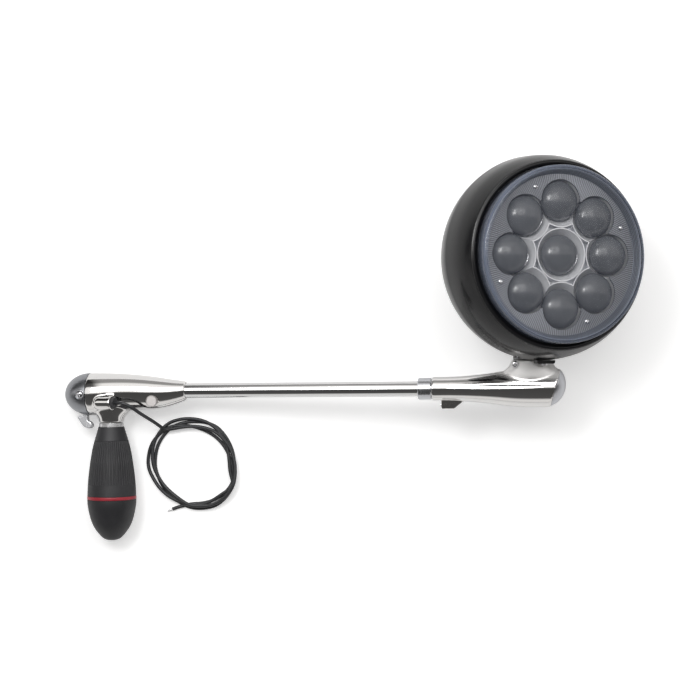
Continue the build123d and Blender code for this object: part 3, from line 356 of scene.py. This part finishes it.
finishes = {
    "bright_tube": brushed("bright_tube", (0.80, 0.80, 0.80), drive, (30, 2500, 2500), 0.05, 0.12),
    "collar_steel": brushed("collar_steel", (0.62, 0.63, 0.66), drive, (3500, 150, 150), 0.16, 0.30),
    "polished_casting": plated("polished_casting", (0.83, 0.82, 0.81), 0.06, 0.11),
    "satin_cap": plated("satin_cap", (0.33, 0.34, 0.36), 0.26, 0.38, ripple=0.00001),
    "dome_cap": plated("dome_cap", (0.56, 0.57, 0.60), 0.26, 0.36, ripple=0.00001),
    "screw_steel": plated("screw_steel", (0.72, 0.72, 0.74), 0.10, 0.22, cloud=400.0),
    "lever_bright": moulded(
        "lever_bright", (0.74, 0.75, 0.78), (0.80, 0.81, 0.84), 0.22, 0.30, Metallic=0.6
    ),
    "plug_steel": moulded(
        "plug_steel", (0.60, 0.57, 0.56), (0.68, 0.65, 0.64), 0.35, 0.45, Metallic=0.3
    ),
    "gear_steel": plated("gear_steel", (0.48, 0.48, 0.50), 0.25, 0.40),
    "bush_bronze": plated("bush_bronze", (0.62, 0.42, 0.20), 0.30, 0.42),
    "ferrule_metal": brushed("ferrule_metal", (0.84, 0.84, 0.85), drive, (100, 4500, 100), 0.22, 0.36),
    "grip_black": moulded("grip_black", (0.016, 0.016, 0.018), (0.024, 0.024, 0.027), 0.42, 0.56),
    "grip_band_red": moulded("grip_band_red", (0.30, 0.018, 0.030), (0.38, 0.03, 0.045), 0.30, 0.42),
    "bead_gloss": moulded(
        "bead_gloss", (0.008, 0.008, 0.009), (0.012, 0.012, 0.013), 0.10, 0.16, Coat_Weight=0.6
    ),
    "inner_plastic": moulded("inner_plastic", (0.03, 0.03, 0.032), (0.05, 0.05, 0.055), 0.35, 0.5),
    "housing_black": gloss_paint("housing_black", (0.007, 0.007, 0.008), (0.010, 0.010, 0.011)),
    "engine_metal": plated("engine_metal", (0.55, 0.56, 0.58), 0.35, 0.5),
    "board_white": moulded("board_white", (0.75, 0.75, 0.73), (0.82, 0.82, 0.80), 0.4, 0.5),
    "emitter_yellow": moulded("emitter_yellow", (0.75, 0.62, 0.10), (0.85, 0.74, 0.2), 0.3, 0.4),
    "cup_chrome": bright_cup("cup_chrome", (0.97, 0.975, 1.0)),
    "neck_casting": neck_casting("neck_casting", (0.83, 0.82, 0.81)),
    "optic_glass": smoked_lens("optic_glass", (0.088, 0.092, 0.100), (0.108, 0.112, 0.122)),
    "rim_band_blue": lined_band("rim_band_blue", (0.11, 0.12, 0.14), (0.38, 0.41, 0.48)),
    "plate_grey": striated_plate("plate_grey", (0.13, 0.135, 0.148), (0.33, 0.342, 0.372)),
    "cover_clear": clear_moulding("cover_clear", (0.14, 0.16, 0.21)),
    "seal_rubber": moulded("seal_rubber", (0.02, 0.02, 0.02), (0.03, 0.03, 0.03), 0.6, 0.75),
    "lead_grey": moulded(
        "lead_grey", (0.018, 0.019, 0.021), (0.030, 0.031, 0.034), 0.38, 0.5, grain=1800.0
    ),
    "strand_tin": plated("strand_tin", (0.75, 0.75, 0.76), 0.2, 0.35, cloud=900.0),
}
for row in frame["record"]["subparts"]:
    slots = nodes[row["node"]].data.materials
    slots.clear()
    slots.append(finishes[row["material_slot"]])


# Mesh helpers

merge_distance = 0.002 * MM


def link_mesh(name, mesh, finish):
    mesh.materials.clear()
    mesh.materials.append(finishes[finish])
    piece = bpy.data.objects.new(name, mesh)
    bpy.context.scene.collection.objects.link(piece)
    return piece


def finished(piece, matrix=None):
    """The piece with its modifiers applied, its place in its mesh and its object at the origin."""
    bpy.context.view_layer.update()
    evaluated = piece.evaluated_get(bpy.context.evaluated_depsgraph_get())
    mesh = bpy.data.meshes.new_from_object(evaluated)
    piece.modifiers.clear()
    if piece.type == "MESH":
        piece.data = mesh
    else:
        name = piece.name
        bpy.data.objects.remove(piece)
        piece = bpy.data.objects.new(name, mesh)
        bpy.context.scene.collection.objects.link(piece)
    if matrix is not None:
        mesh.transform(matrix)
    return piece


def seat(matrix, *place):
    """A matrix moved to a place in its own frame, in millimetres."""
    return matrix @ Matrix.Translation([step * MM for step in place])


def settle(piece, body, slot, *replaced):
    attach(piece, body)
    if replaced:
        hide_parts(*replaced)
    return piece


def smooth(mesh, angle=35.0):
    """Smooth shading, with the edges sharper than an angle kept crisp."""
    for face in mesh.polygons:
        face.use_smooth = True
    mesh.set_sharp_from_angle(angle=math.radians(angle))


def merged_copy(node):
    """A copy of a CAD mesh, with the corners that share a place made one."""
    mesh = nodes[node].data.copy()
    work = bmesh.new()
    work.from_mesh(mesh)
    bmesh.ops.remove_doubles(work, verts=work.verts, dist=merge_distance)
    work.to_mesh(mesh)
    work.free()
    return mesh


def softened_casting(name, node, voxel, rounds, finish="polished_casting"):
    """A casting with the soft corners that polishing leaves. The voxel is in millimetres."""
    piece = link_mesh(name, merged_copy(node), finish)
    remesh = piece.modifiers.new("even_skin", "REMESH")
    remesh.mode = "VOXEL"
    remesh.voxel_size = voxel * MM
    polish = piece.modifiers.new("polish", "SMOOTH")
    polish.factor = 0.5
    polish.iterations = rounds
    piece = finished(piece)
    piece.data.materials.clear()
    piece.data.materials.append(finishes[finish])
    smooth(piece.data, 180.0)
    return piece


# Castings: the groove along the face of the gooseneck, in millimetres of the drive frame

spine_start, spine_end = 288.0, 367.5
spine_height = 1.7
spine_width = 3.4
spine_depth = 0.4
spine_face = 8.0


def spine_groove(mesh):
    """A shallow groove along the face of the gooseneck, widest at its middle."""
    to_drive = drive.inverted()
    for vertex in mesh.vertices:
        place = to_drive @ vertex.co / MM
        if place.z < spine_face or not spine_start < place.x < spine_end:
            continue
        share = (place.x - spine_start) / (spine_end - spine_start)
        half_width = spine_width / 2 * math.sin(math.pi * share) ** 0.6
        off = abs(place.y - spine_height)
        if off < half_width:
            sunk = spine_depth * MM * (0.5 + 0.5 * math.cos(math.pi * off / half_width))
            vertex.co -= drive.to_3x3() @ Vector((0, 0, sunk))
    mesh.update()


handle = softened_casting("handle_body", "handle_casting", 0.6, 16)
settle(handle, "frame", "polished_casting", "handle_casting")
gooseneck = softened_casting("gooseneck_body", "gooseneck_casting", 0.6, 16, "neck_casting")
spine_groove(gooseneck.data)
settle(gooseneck, "frame", "polished_casting", "gooseneck_casting")
lever = softened_casting("lever_body", "trigger_lever", 0.3, 14, "lever_bright")
settle(lever, "trigger", "polished_casting", "trigger_lever")


# Turned pieces, and pieces repeated round the lamp's beam


def eased(profile, reach, parts=4):
    """A closed profile of radius and height, with each corner off the axis rounded."""
    points = [Vector(point) for point in profile]
    rounded = []
    for index, corner in enumerate(points):
        if corner.x == 0:
            rounded.append(corner)
            continue
        ends = []
        for other in (points[index - 1], points[(index + 1) % len(points)]):
            run = other - corner
            ends.append(corner + run * min(reach / run.length, 0.45))
        start, end = ends
        for part in range(parts + 1):
            share = part / parts
            pull = 2 * share * (1 - share)
            rounded.append(start * (1 - share) ** 2 + corner * pull + end * share**2)
    return rounded


def turned_mesh(name, profile, steps=192):
    """The closed solid that a profile sweeps about Z, from millimetres."""
    work = bmesh.new()
    rows = []
    for radius, height in profile:
        if radius == 0:
            rows.append([work.verts.new((0, 0, height * MM))] * steps)
            continue
        row = []
        for step in range(steps):
            angle = 2 * math.pi * step / steps
            place = (radius * math.cos(angle), radius * math.sin(angle), height)
            row.append(work.verts.new(Vector(place) * MM))
        rows.append(row)
    for low, high in zip(rows, rows[1:] + rows[:1]):
        for step in range(steps):
            after = (step + 1) % steps
            corners = [low[step], low[after], high[after], high[step]]
            face = [corner for place, corner in enumerate(corners) if corner not in corners[:place]]
            if len(face) > 2:
                work.faces.new(face)
    bmesh.ops.recalc_face_normals(work, faces=work.faces)
    mesh = bpy.data.meshes.new(name)
    work.to_mesh(mesh)
    work.free()
    return mesh


def turned(name, profile, finish, matrix, steps=192):
    piece = link_mesh(name, turned_mesh(name, profile, steps), finish)
    piece.data.transform(matrix)
    smooth(piece.data)
    return piece


class Tree:
    """A Geometry Nodes tree and short ways to add to it."""

    def __init__(self, name, inputs):
        self.group = bpy.data.node_groups.new(name, "GeometryNodeTree")
        sockets = self.group.interface
        sockets.new_socket("Geometry", in_out="INPUT", socket_type="NodeSocketGeometry")
        self.keys = {}
        for title, kind in inputs.items():
            socket = sockets.new_socket(title, in_out="INPUT", socket_type=kind)
            self.keys[title] = socket.identifier
        sockets.new_socket("Geometry", in_out="OUTPUT", socket_type="NodeSocketGeometry")
        self.given = self.group.nodes.new("NodeGroupInput")
        self.result = self.group.nodes.new("NodeGroupOutput")

    def add(self, kind, sockets=None, **values):
        """A node whose named sockets take a value or another node's output."""
        made = self.group.nodes.new(kind)
        for name, value in values.items():
            setattr(made, name, value)
        for place, value in (sockets or {}).items():
            if isinstance(value, bpy.types.NodeSocket):
                self.group.links.new(value, made.inputs[place])
            else:
                made.inputs[place].default_value = value
        return made.outputs[0]

    def maths(self, operation, first, second=0.0):
        return self.add("ShaderNodeMath", {0: first, 1: second}, operation=operation)

    def give(self, geometry, finish):
        """Real geometry with its material, as the tree's result."""
        real = self.add("GeometryNodeRealizeInstances", {"Geometry": geometry})
        named = self.add("GeometryNodeSetMaterial", {"Geometry": real, "Material": finish})
        self.group.links.new(named, self.result.inputs["Geometry"])


def ring_tree():
    """Copies of a piece on a ring about Z, each turned to face out, and at the middle if asked."""
    tree = Tree(
        "repeat_on_ring",
        {
            "Piece": "NodeSocketObject",
            "Finish": "NodeSocketMaterial",
            "Count": "NodeSocketInt",
            "Ring Radius": "NodeSocketFloat",
            "Start Angle": "NodeSocketFloat",
            "At Middle": "NodeSocketInt",
        },
    )
    given = tree.given.outputs
    step = tree.maths("DIVIDE", 2 * math.pi, given["Count"])
    angle = tree.maths("MULTIPLY", tree.add("GeometryNodeInputIndex"), step)
    angle = tree.maths("ADD", angle, given["Start Angle"])
    across = tree.maths("MULTIPLY", tree.maths("COSINE", angle), given["Ring Radius"])
    along = tree.maths("MULTIPLY", tree.maths("SINE", angle), given["Ring Radius"])
    place = tree.add("ShaderNodeCombineXYZ", {"X": across, "Y": along})
    turn = tree.add("ShaderNodeCombineXYZ", {"Z": angle})
    points = tree.add("GeometryNodePoints", {"Count": given["Count"], "Position": place})
    middle = tree.add("GeometryNodePoints", {"Count": given["At Middle"]})
    seed = tree.group.nodes.new("GeometryNodeObjectInfo")
    tree.group.links.new(given["Piece"], seed.inputs["Object"])
    form = seed.outputs["Geometry"]
    copies = tree.add(
        "GeometryNodeInstanceOnPoints", {"Points": points, "Instance": form, "Rotation": turn}
    )
    centre = tree.add("GeometryNodeInstanceOnPoints", {"Points": middle, "Instance": form})
    joined = tree.group.nodes.new("GeometryNodeJoinGeometry")
    tree.group.links.new(copies, joined.inputs["Geometry"])
    tree.group.links.new(centre, joined.inputs["Geometry"])
    tree.give(joined.outputs["Geometry"], given["Finish"])
    return tree


on_ring = ring_tree()


def repeated(name, form, finish, count, radius, start=0.0, middle=0, matrix=head):
    """One mesh of the copies of a form on a ring, in millimetres and degrees."""
    smooth(form)
    seed = bpy.data.objects.new(name + "_form", form)
    bpy.context.scene.collection.objects.link(seed)
    piece = link_mesh(name, bpy.data.meshes.new(name), finish)
    modifier = piece.modifiers.new("on_ring", "NODES")
    modifier.node_group = on_ring.group
    values = {
        "Piece": seed,
        "Finish": finishes[finish],
        "Count": count,
        "Ring Radius": radius * MM,
        "Start Angle": math.radians(start),
        "At Middle": middle,
    }
    for title, value in values.items():
        modifier[on_ring.keys[title]] = value
    piece = finished(piece, matrix)
    bpy.data.objects.remove(seed)
    return piece


def cut_away(piece, form):
    """The piece with a closed form cut out of it."""
    cutter = bpy.data.objects.new("cutter", form)
    bpy.context.scene.collection.objects.link(cutter)
    cut = piece.modifiers.new("cut", "BOOLEAN")
    cut.operation = "DIFFERENCE"
    cut.solver = "EXACT"
    cut.object = cutter
    piece = finished(piece)
    bpy.data.objects.remove(cutter)
    return piece


# A screw head's dome, from the top out, in shares of its radius and height
screw_dome = [(0, 1.0), (0.5, 0.94), (0.84, 0.66), (1.0, 0.2)]
screw_sink = 0.3
screw_edge = 0.12
screw_turn = 20


def recess_bar(length, width, depth, height, angle):
    """A bar that lies across the axis at a height, to cut one arm of a recess."""
    bar = bmesh.new()
    bmesh.ops.create_cube(bar, size=1.0)
    bmesh.ops.scale(bar, verts=bar.verts, vec=Vector((length, width, depth)) * MM)
    bmesh.ops.translate(bar, verts=bar.verts, vec=(0, 0, height * MM))
    turn = Matrix.Rotation(math.radians(angle), 3, "Z")
    bmesh.ops.rotate(bar, verts=bar.verts, matrix=turn)
    mesh = bpy.data.meshes.new("bar")
    bar.to_mesh(mesh)
    bar.free()
    return mesh


def recessed_head(name, radius, height, arm=0.52, slot=0.13, depth=0.5):
    """A domed screw head with a cross recess, standing on Z = 0."""
    profile = [(radius * out, height * up) for out, up in screw_dome]
    profile += [(radius, -screw_sink), (0, -screw_sink)]
    form = turned_mesh(name, eased(profile, radius * screw_edge, 3), 48)
    piece = link_mesh(name, form, "screw_steel")
    for angle in (screw_turn, screw_turn + 90):
        sizes = (radius * arm * 2, radius * slot * 2, height * depth * 2)
        piece = cut_away(piece, recess_bar(*sizes, height, angle))
    mesh = piece.data
    bpy.data.objects.remove(piece)
    return mesh


# Lamp head: sizes in millimetres along the beam, from the middle of the housing

cup_floor = 47.6
plate_front = 55.3
seat_gap = 0.02
optic_ring_count = 8
optic_ring_radius = 42.5
dome_radius = 15.9
dome_foot = 14.3
dome_waist = 2.8
dome_top = 13.3
dome_steps = 14
dome_skirt = [(dome_radius - 0.5, 2.2), (dome_foot + 0.4, 0.7), (dome_foot, seat_gap), (0, seat_gap)]
bead_radius = 0.6
bead_ring_radius = 74.7
bead_height = 51.55
bead_sides = 12


def dome_profile():
    """A lens that bulges over its foot, from the top down to the axis."""
    profile = [(0, dome_top)]
    for step in range(1, dome_steps + 1):
        angle = math.radians(90 - 90 * step / dome_steps)
        rise = (dome_top - dome_waist) * math.sin(angle)
        profile.append((dome_radius * math.cos(angle), dome_waist + rise))
    return profile + dome_skirt


domes = repeated(
    "dome_lenses",
    turned_mesh("dome", dome_profile(), 64),
    "optic_glass",
    optic_ring_count,
    optic_ring_radius,
    middle=1,
    matrix=seat(head, 0, 0, cup_floor),
)
settle(domes, "lamp_head", "optic_glass", "lens_optics")


def bead_profile():
    """The round section of the bead on the bezel's edge."""
    angles = [2 * math.pi * side / bead_sides for side in range(bead_sides)]
    return [
        (bead_ring_radius + bead_radius * math.cos(angle), bead_height + bead_radius * math.sin(angle))
        for angle in angles
    ]


bead = turned("bezel_bead", bead_profile(), "bead_gloss", head, 256)
settle(bead, "lamp_head", "housing_black")

cover_inside = [(0, 61.5), (65.6, 61.5), (67.0, 60.9), (67.7, 59.5), (67.7, 46.9)]
cover_flange = [(74.9, 46.9), (74.9, 49.2), (70.2, 49.2)]
cover_shoulder = [(70.2, 60.4), (70.0, 61.7), (69.3, 62.9), (68.2, 63.6), (66.8, 63.95)]
cover_face = [(65.8, 64.0), (0, 64.0)]
cover_profile = cover_inside + cover_flange + cover_shoulder + cover_face
cover = turned("clear_cover", cover_profile, "cover_clear", head, 256)
settle(cover, "lamp_head", "cover_clear", "lens_cover")

rim_steps = 5
rim_inner, rim_outer = 63.6, 67.5
rim_low, rim_high = 55.4, 61.3
rim_skirt = 0.6
rim_riser = 0.35
rim_step_gap = 0.15


def rim_profile():
    """The sloping band between the plate and the cover, in fine steps."""
    profile = [(rim_inner, plate_front - rim_skirt)]
    for step in range(rim_steps):
        near, far = step / rim_steps, (step + 1) / rim_steps
        start = rim_inner + (rim_outer - rim_inner) * near
        end = rim_inner + (rim_outer - rim_inner) * far
        low = rim_low + (rim_high - rim_low) * near
        high = rim_low + (rim_high - rim_low) * far
        profile += [(start, low + (high - low) * rim_riser), (end - rim_step_gap, high)]
    return profile + [(rim_outer, plate_front - rim_skirt)]


plate_inner, plate_outer = 45.5, 66.4
plate_back = plate_front - 1.4
optic_hole = 16.9
hole_reach = 2


def face_plate():
    """The outer ring of the optics plate, with a round hole at each lens of the ring."""
    profile = [(plate_inner, plate_back), (plate_outer, plate_back)]
    profile += [(plate_outer, plate_front), (plate_inner, plate_front)]
    piece = link_mesh("face_plate", turned_mesh("face_plate", profile, 256), "plate_grey")
    low, high = plate_back - hole_reach, plate_front + hole_reach
    hole = turned_mesh("hole", [(0, low), (optic_hole, low), (optic_hole, high), (0, high)], 64)
    for number in range(optic_ring_count):
        angle = 2 * math.pi * number / optic_ring_count
        shift = Vector((math.cos(angle), math.sin(angle), 0)) * optic_ring_radius * MM
        form = hole.copy()
        form.transform(Matrix.Translation(shift))
        piece = cut_away(piece, form)
    piece.data.transform(head)
    smooth(piece.data)
    return piece


settle(face_plate(), "lamp_head", "plate_grey", "optics_plate")

rim = turned("rim_band", rim_profile(), "rim_band_blue", head, 256)
settle(rim, "lamp_head", "plate_grey")

plate_screw_radius = 2.2
plate_screw_height = 1.5
plate_screw_count = 4
plate_screw_ring_radius = 57.0
plate_screw_start = 22.5
screws = repeated(
    "plate_screw_heads",
    recessed_head("screw_head", plate_screw_radius, plate_screw_height),
    "screw_steel",
    plate_screw_count,
    plate_screw_ring_radius,
    start=plate_screw_start,
    matrix=seat(head, 0, 0, plate_front + seat_gap),
)
settle(screws, "lamp_head", "screw_steel", "plate_screws")


# Handle: the end cap's screw and its washer, in millimetres

cap_screw_seat = 16.15
cap_screw_radius = 2.7
cap_screw_height = 1.3
washer_inner, washer_outer = 2.75, 3.7
washer_height = 0.4
washer_edge = 0.12


def screw_axis(node):
    """Where a screw's middle lies in the drive frame."""
    low, high = (Vector(corner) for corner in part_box(node))
    return drive.inverted() @ ((low + high) / 2)


cap_axis = screw_axis("end_cap_screw") / MM
cap_seat = seat(drive, cap_axis.x, cap_axis.y, cap_screw_seat + seat_gap)
cap_head = recessed_head("cap_head", cap_screw_radius, cap_screw_height, arm=0.6, slot=0.15)
cap_screw = repeated("cap_screw_head", cap_head, "screw_steel", 1, 0.0, matrix=cap_seat)
settle(cap_screw, "frame", "screw_steel", "end_cap_screw")
washer_profile = [
    (washer_inner, 0.0),
    (washer_outer, 0.0),
    (washer_outer, washer_height),
    (washer_inner, washer_height),
]
washer_form = eased(washer_profile, washer_edge)
washer = turned("cap_screw_washer", washer_form, "screw_steel", cap_seat, 64)
settle(washer, "frame", "screw_steel")


# Lead: the loose turns as they lie, seen from above, in millimetres of the row frame

lead_diameter = 3.0 * MM
lead_straight = 5.0
lead_exit = Vector((-195.1978, -40.3173, 39.4903))
lead_way = Vector((0.92602, 0.00220, 0.37749))
lead_drop = [
    (-186.0, -41.5, 42.0),
    (-181.8, -43.7, 41.3),
    (-178.3, -46.4, 39.0),
    (-175.4, -49.1, 35.1),
    (-171.9, -52.4, 28.2),
    (-167.7, -56.2, 19.4),
    (-163.0, -60.6, 11.5),
    (-158.8, -65.1, 5.6),
]
lead_tail = [(-143.1, -131.0, 1.6), (-148.1, -132.1, 1.6), (-153.0, -133.9, 1.6)]
coil_centre = Vector((-135.3, -94.4))

# How far out the turns lie, nearest and farthest, at every 30 degrees from the row's X axis
turn_inner = [31.0, 30.5, 30.5, 31.5, 34.4, 34.0, 32.6, 31.0, 30.5, 35.0, 36.2, 36.6]
turn_outer = [37.6, 36.8, 39.0, 39.0, 41.8, 41.2, 39.2, 35.9, 36.3, 39.2, 42.2, 41.6]
turn_start = 118.0
turn_sweep = 1290.0
turn_points = 80
turn_fresh_points = 10
turn_weave = 5 * 360 / turn_sweep
bight_turn = 1
bight_angle = -31.0
bight_reach = 5.5
bight_width = 9.0
bench_gap = 0.1


def round_value(table, angle):
    """A value of a table that goes right round, at an angle in degrees."""
    step = 360 / len(table)
    place = (angle % 360) / step
    index = int(place)
    share = 0.5 - 0.5 * math.cos(math.pi * (place - index))
    return table[index % len(table)] * (1 - share) + table[(index + 1) % len(table)] * share


def turn_place(step):
    """Where one point of the loose turns lies on the bench. They weave in and out of each other."""
    swept = turn_sweep * step / (turn_points - 1)
    angle = turn_start - swept
    weave = 0.5 - 0.5 * math.cos(math.radians(swept * turn_weave))
    radius = round_value(turn_inner, angle) * (1 - weave) + round_value(turn_outer, angle) * weave
    off = (angle - bight_angle + 180) % 360 - 180
    if int(swept // 360) == bight_turn:
        radius += bight_reach * math.exp(-((off / bight_width) ** 2))
    return Vector(
        (
            coil_centre.x + radius * math.cos(math.radians(angle)),
            coil_centre.y + radius * math.sin(math.radians(angle)),
        )
    )


def resting_height(place, laid):
    """How high the lead's middle lies where it rests on what is already there."""
    thick = lead_diameter / MM
    height = thick / 2 + bench_gap
    for (start, low), (end, high) in zip(laid, laid[1:]):
        run = end - start
        share = min(max((place - start).dot(run) / run.length_squared, 0.0), 1.0)
        gap = (place - start - run * share).length
        if gap < thick:
            height = max(height, low + (high - low) * share + math.sqrt(thick**2 - gap**2))
    return height


def with_neighbours(values, index):
    """A value of a row and the ones beside it."""
    return values[max(index - 1, 0) : index + 2]


def loose_turns(tail):
    """The turns with their heights, laid from the tail on: each rests on what lies there already."""
    places = [turn_place(step) for step in range(turn_points)]
    laid = [(Vector(point[:2]), point[2]) for point in reversed(tail)]
    for place in reversed(places):
        under = laid[: max(len(laid) - turn_fresh_points, 0)]
        laid.append((place, resting_height(place, under)))
    turns = list(reversed(laid[len(tail) :]))
    heights = [height for _, height in turns]
    lifted = [max(with_neighbours(heights, index)) for index in range(len(heights))]
    groups = [with_neighbours(lifted, index) for index in range(len(lifted))]
    evened = [sum(group) / len(group) for group in groups]
    return [(place.x, place.y, height) for (place, _), height in zip(turns, evened)]


def lead_curve():
    route = [lead_exit, lead_exit + lead_way * lead_straight]
    for points in (lead_drop, loose_turns(lead_tail), lead_tail):
        route += [Vector(point) for point in points]
    data = bpy.data.curves.new("lead", "CURVE")
    data.dimensions = "3D"
    data.bevel_depth = lead_diameter / 2
    data.bevel_resolution = 5
    data.resolution_u = 8
    data.use_fill_caps = True
    spline = data.splines.new("NURBS")
    spline.points.add(len(route) - 1)
    for point, place in zip(spline.points, route):
        point.co = (*(place * MM), 1.0)
    spline.order_u = 3
    spline.use_endpoint_u = True
    data.materials.append(finishes["lead_grey"])
    lead = bpy.data.objects.new("lead", data)
    bpy.context.scene.collection.objects.link(lead)
    settle(lead, "frame", "lead_grey", "lead_tube", "lead_coil", "lead_tail")


lead_curve()


# Floor and light


floor_half = 3.0
floor_glow = 0.42
floor_glow_mirrored = 0.05

# The room's grey, from low on the near side over the top to low on the far side
room_span = math.radians(100)
room_greys = [
    (0.0, 0.80),
    (0.13, 0.75),
    (0.19, 0.08),
    (0.506, 0.06),
    (0.520, 1.0),
    (0.78, 1.0),
    (0.83, 0.30),
    (1.0, 0.38),
]
room_warmth = (1.0, 0.985, 0.97)
dark_corner_left = (-0.34, -0.26)
dark_corner_down = (math.radians(36), math.radians(44))
dark_corner_strength = 0.08


def pale_floor():
    mesh = bpy.data.meshes.new("floor")
    corners = [(-1, -1), (1, -1), (1, 1), (-1, 1)]
    places = [(across * floor_half, along * floor_half, 0) for across, along in corners]
    mesh.from_pydata(places, [], [(0, 1, 2, 3)])
    floor = bpy.data.objects.new("floor", mesh)
    finish = Finish("floor_paper", (0.86, 0.86, 0.86), Roughness=0.9)
    finish.set("Specular IOR Level", 0.1)
    glow = finish.node("ShaderNodeEmission")
    glow.inputs["Color"].default_value = (1, 1, 1, 1)
    paths = finish.node("ShaderNodeLightPath")
    seen = finish.maths("MAXIMUM", paths.outputs["Is Camera Ray"], paths.outputs["Is Transmission Ray"])
    seen = finish.maths("MULTIPLY", seen, floor_glow)
    mirrored = finish.maths("MULTIPLY", paths.outputs["Is Glossy Ray"], floor_glow_mirrored)
    finish.link(finish.maths("MAXIMUM", seen, mirrored), glow.inputs["Strength"])
    both = finish.node("ShaderNodeAddShader")
    finish.link(finish.shader.outputs["BSDF"], both.inputs[0])
    finish.link(glow.outputs["Emission"], both.inputs[1])
    output = finish.tree.nodes["Material Output"]
    finish.link(both.outputs["Shader"], output.inputs["Surface"])
    mesh.materials.append(finish.material)
    bpy.context.scene.collection.objects.link(floor)


def studio_world():
    """A room that is bright over the far side and low on the near side, and dark between and left."""
    world = bpy.data.worlds.new("studio")
    bpy.context.scene.world = world
    world.use_nodes = True
    room = Shading(world.node_tree)
    background = world.node_tree.nodes["Background"]
    parts = room.split(room.node("ShaderNodeTexCoord").outputs["Generated"])
    angle = room.maths("ARCTAN2", parts["Y"], parts["Z"])
    share = room.between(angle, 0.0, 1.0, -room_span, room_span)
    stops = [(place, [grey * tone for tone in room_warmth]) for place, grey in room_greys]
    room.link(room.ramp(share, stops), background.inputs["Color"])
    leftward = room.between(parts["X"], 1.0, 0.0, *dark_corner_left)
    low_down = room.between(angle, 0.0, 1.0, *dark_corner_down)
    corner = room.maths("MULTIPLY", leftward, low_down)
    strength = room.between(corner, 1.0, dark_corner_strength, 0.0, 1.0)
    room.link(strength, background.inputs["Strength"])


def soft_box(name, place, aim, size, power):
    light = bpy.data.lights.new(name, "AREA")
    light.shape = "RECTANGLE"
    light.size, light.size_y = size
    light.energy = power
    lamp = bpy.data.objects.new(name, light)
    lamp.location = place
    lamp.rotation_euler = (Vector(aim) - Vector(place)).to_track_quat("-Z", "Y").to_euler()
    bpy.context.scene.collection.objects.link(lamp)


pale_floor()
studio_world()
soft_box("top_light", place=(0.0, 0.55, 1.35), aim=(0.0, -0.02, 0.0), size=(1.6, 0.7), power=8.0)
soft_box("left_light", place=(-0.36, 0.48, 1.25), aim=(0.15, 0.08, 0.10), size=(0.40, 0.28), power=4.5)

bpy.context.scene.view_settings.view_transform = "Standard"
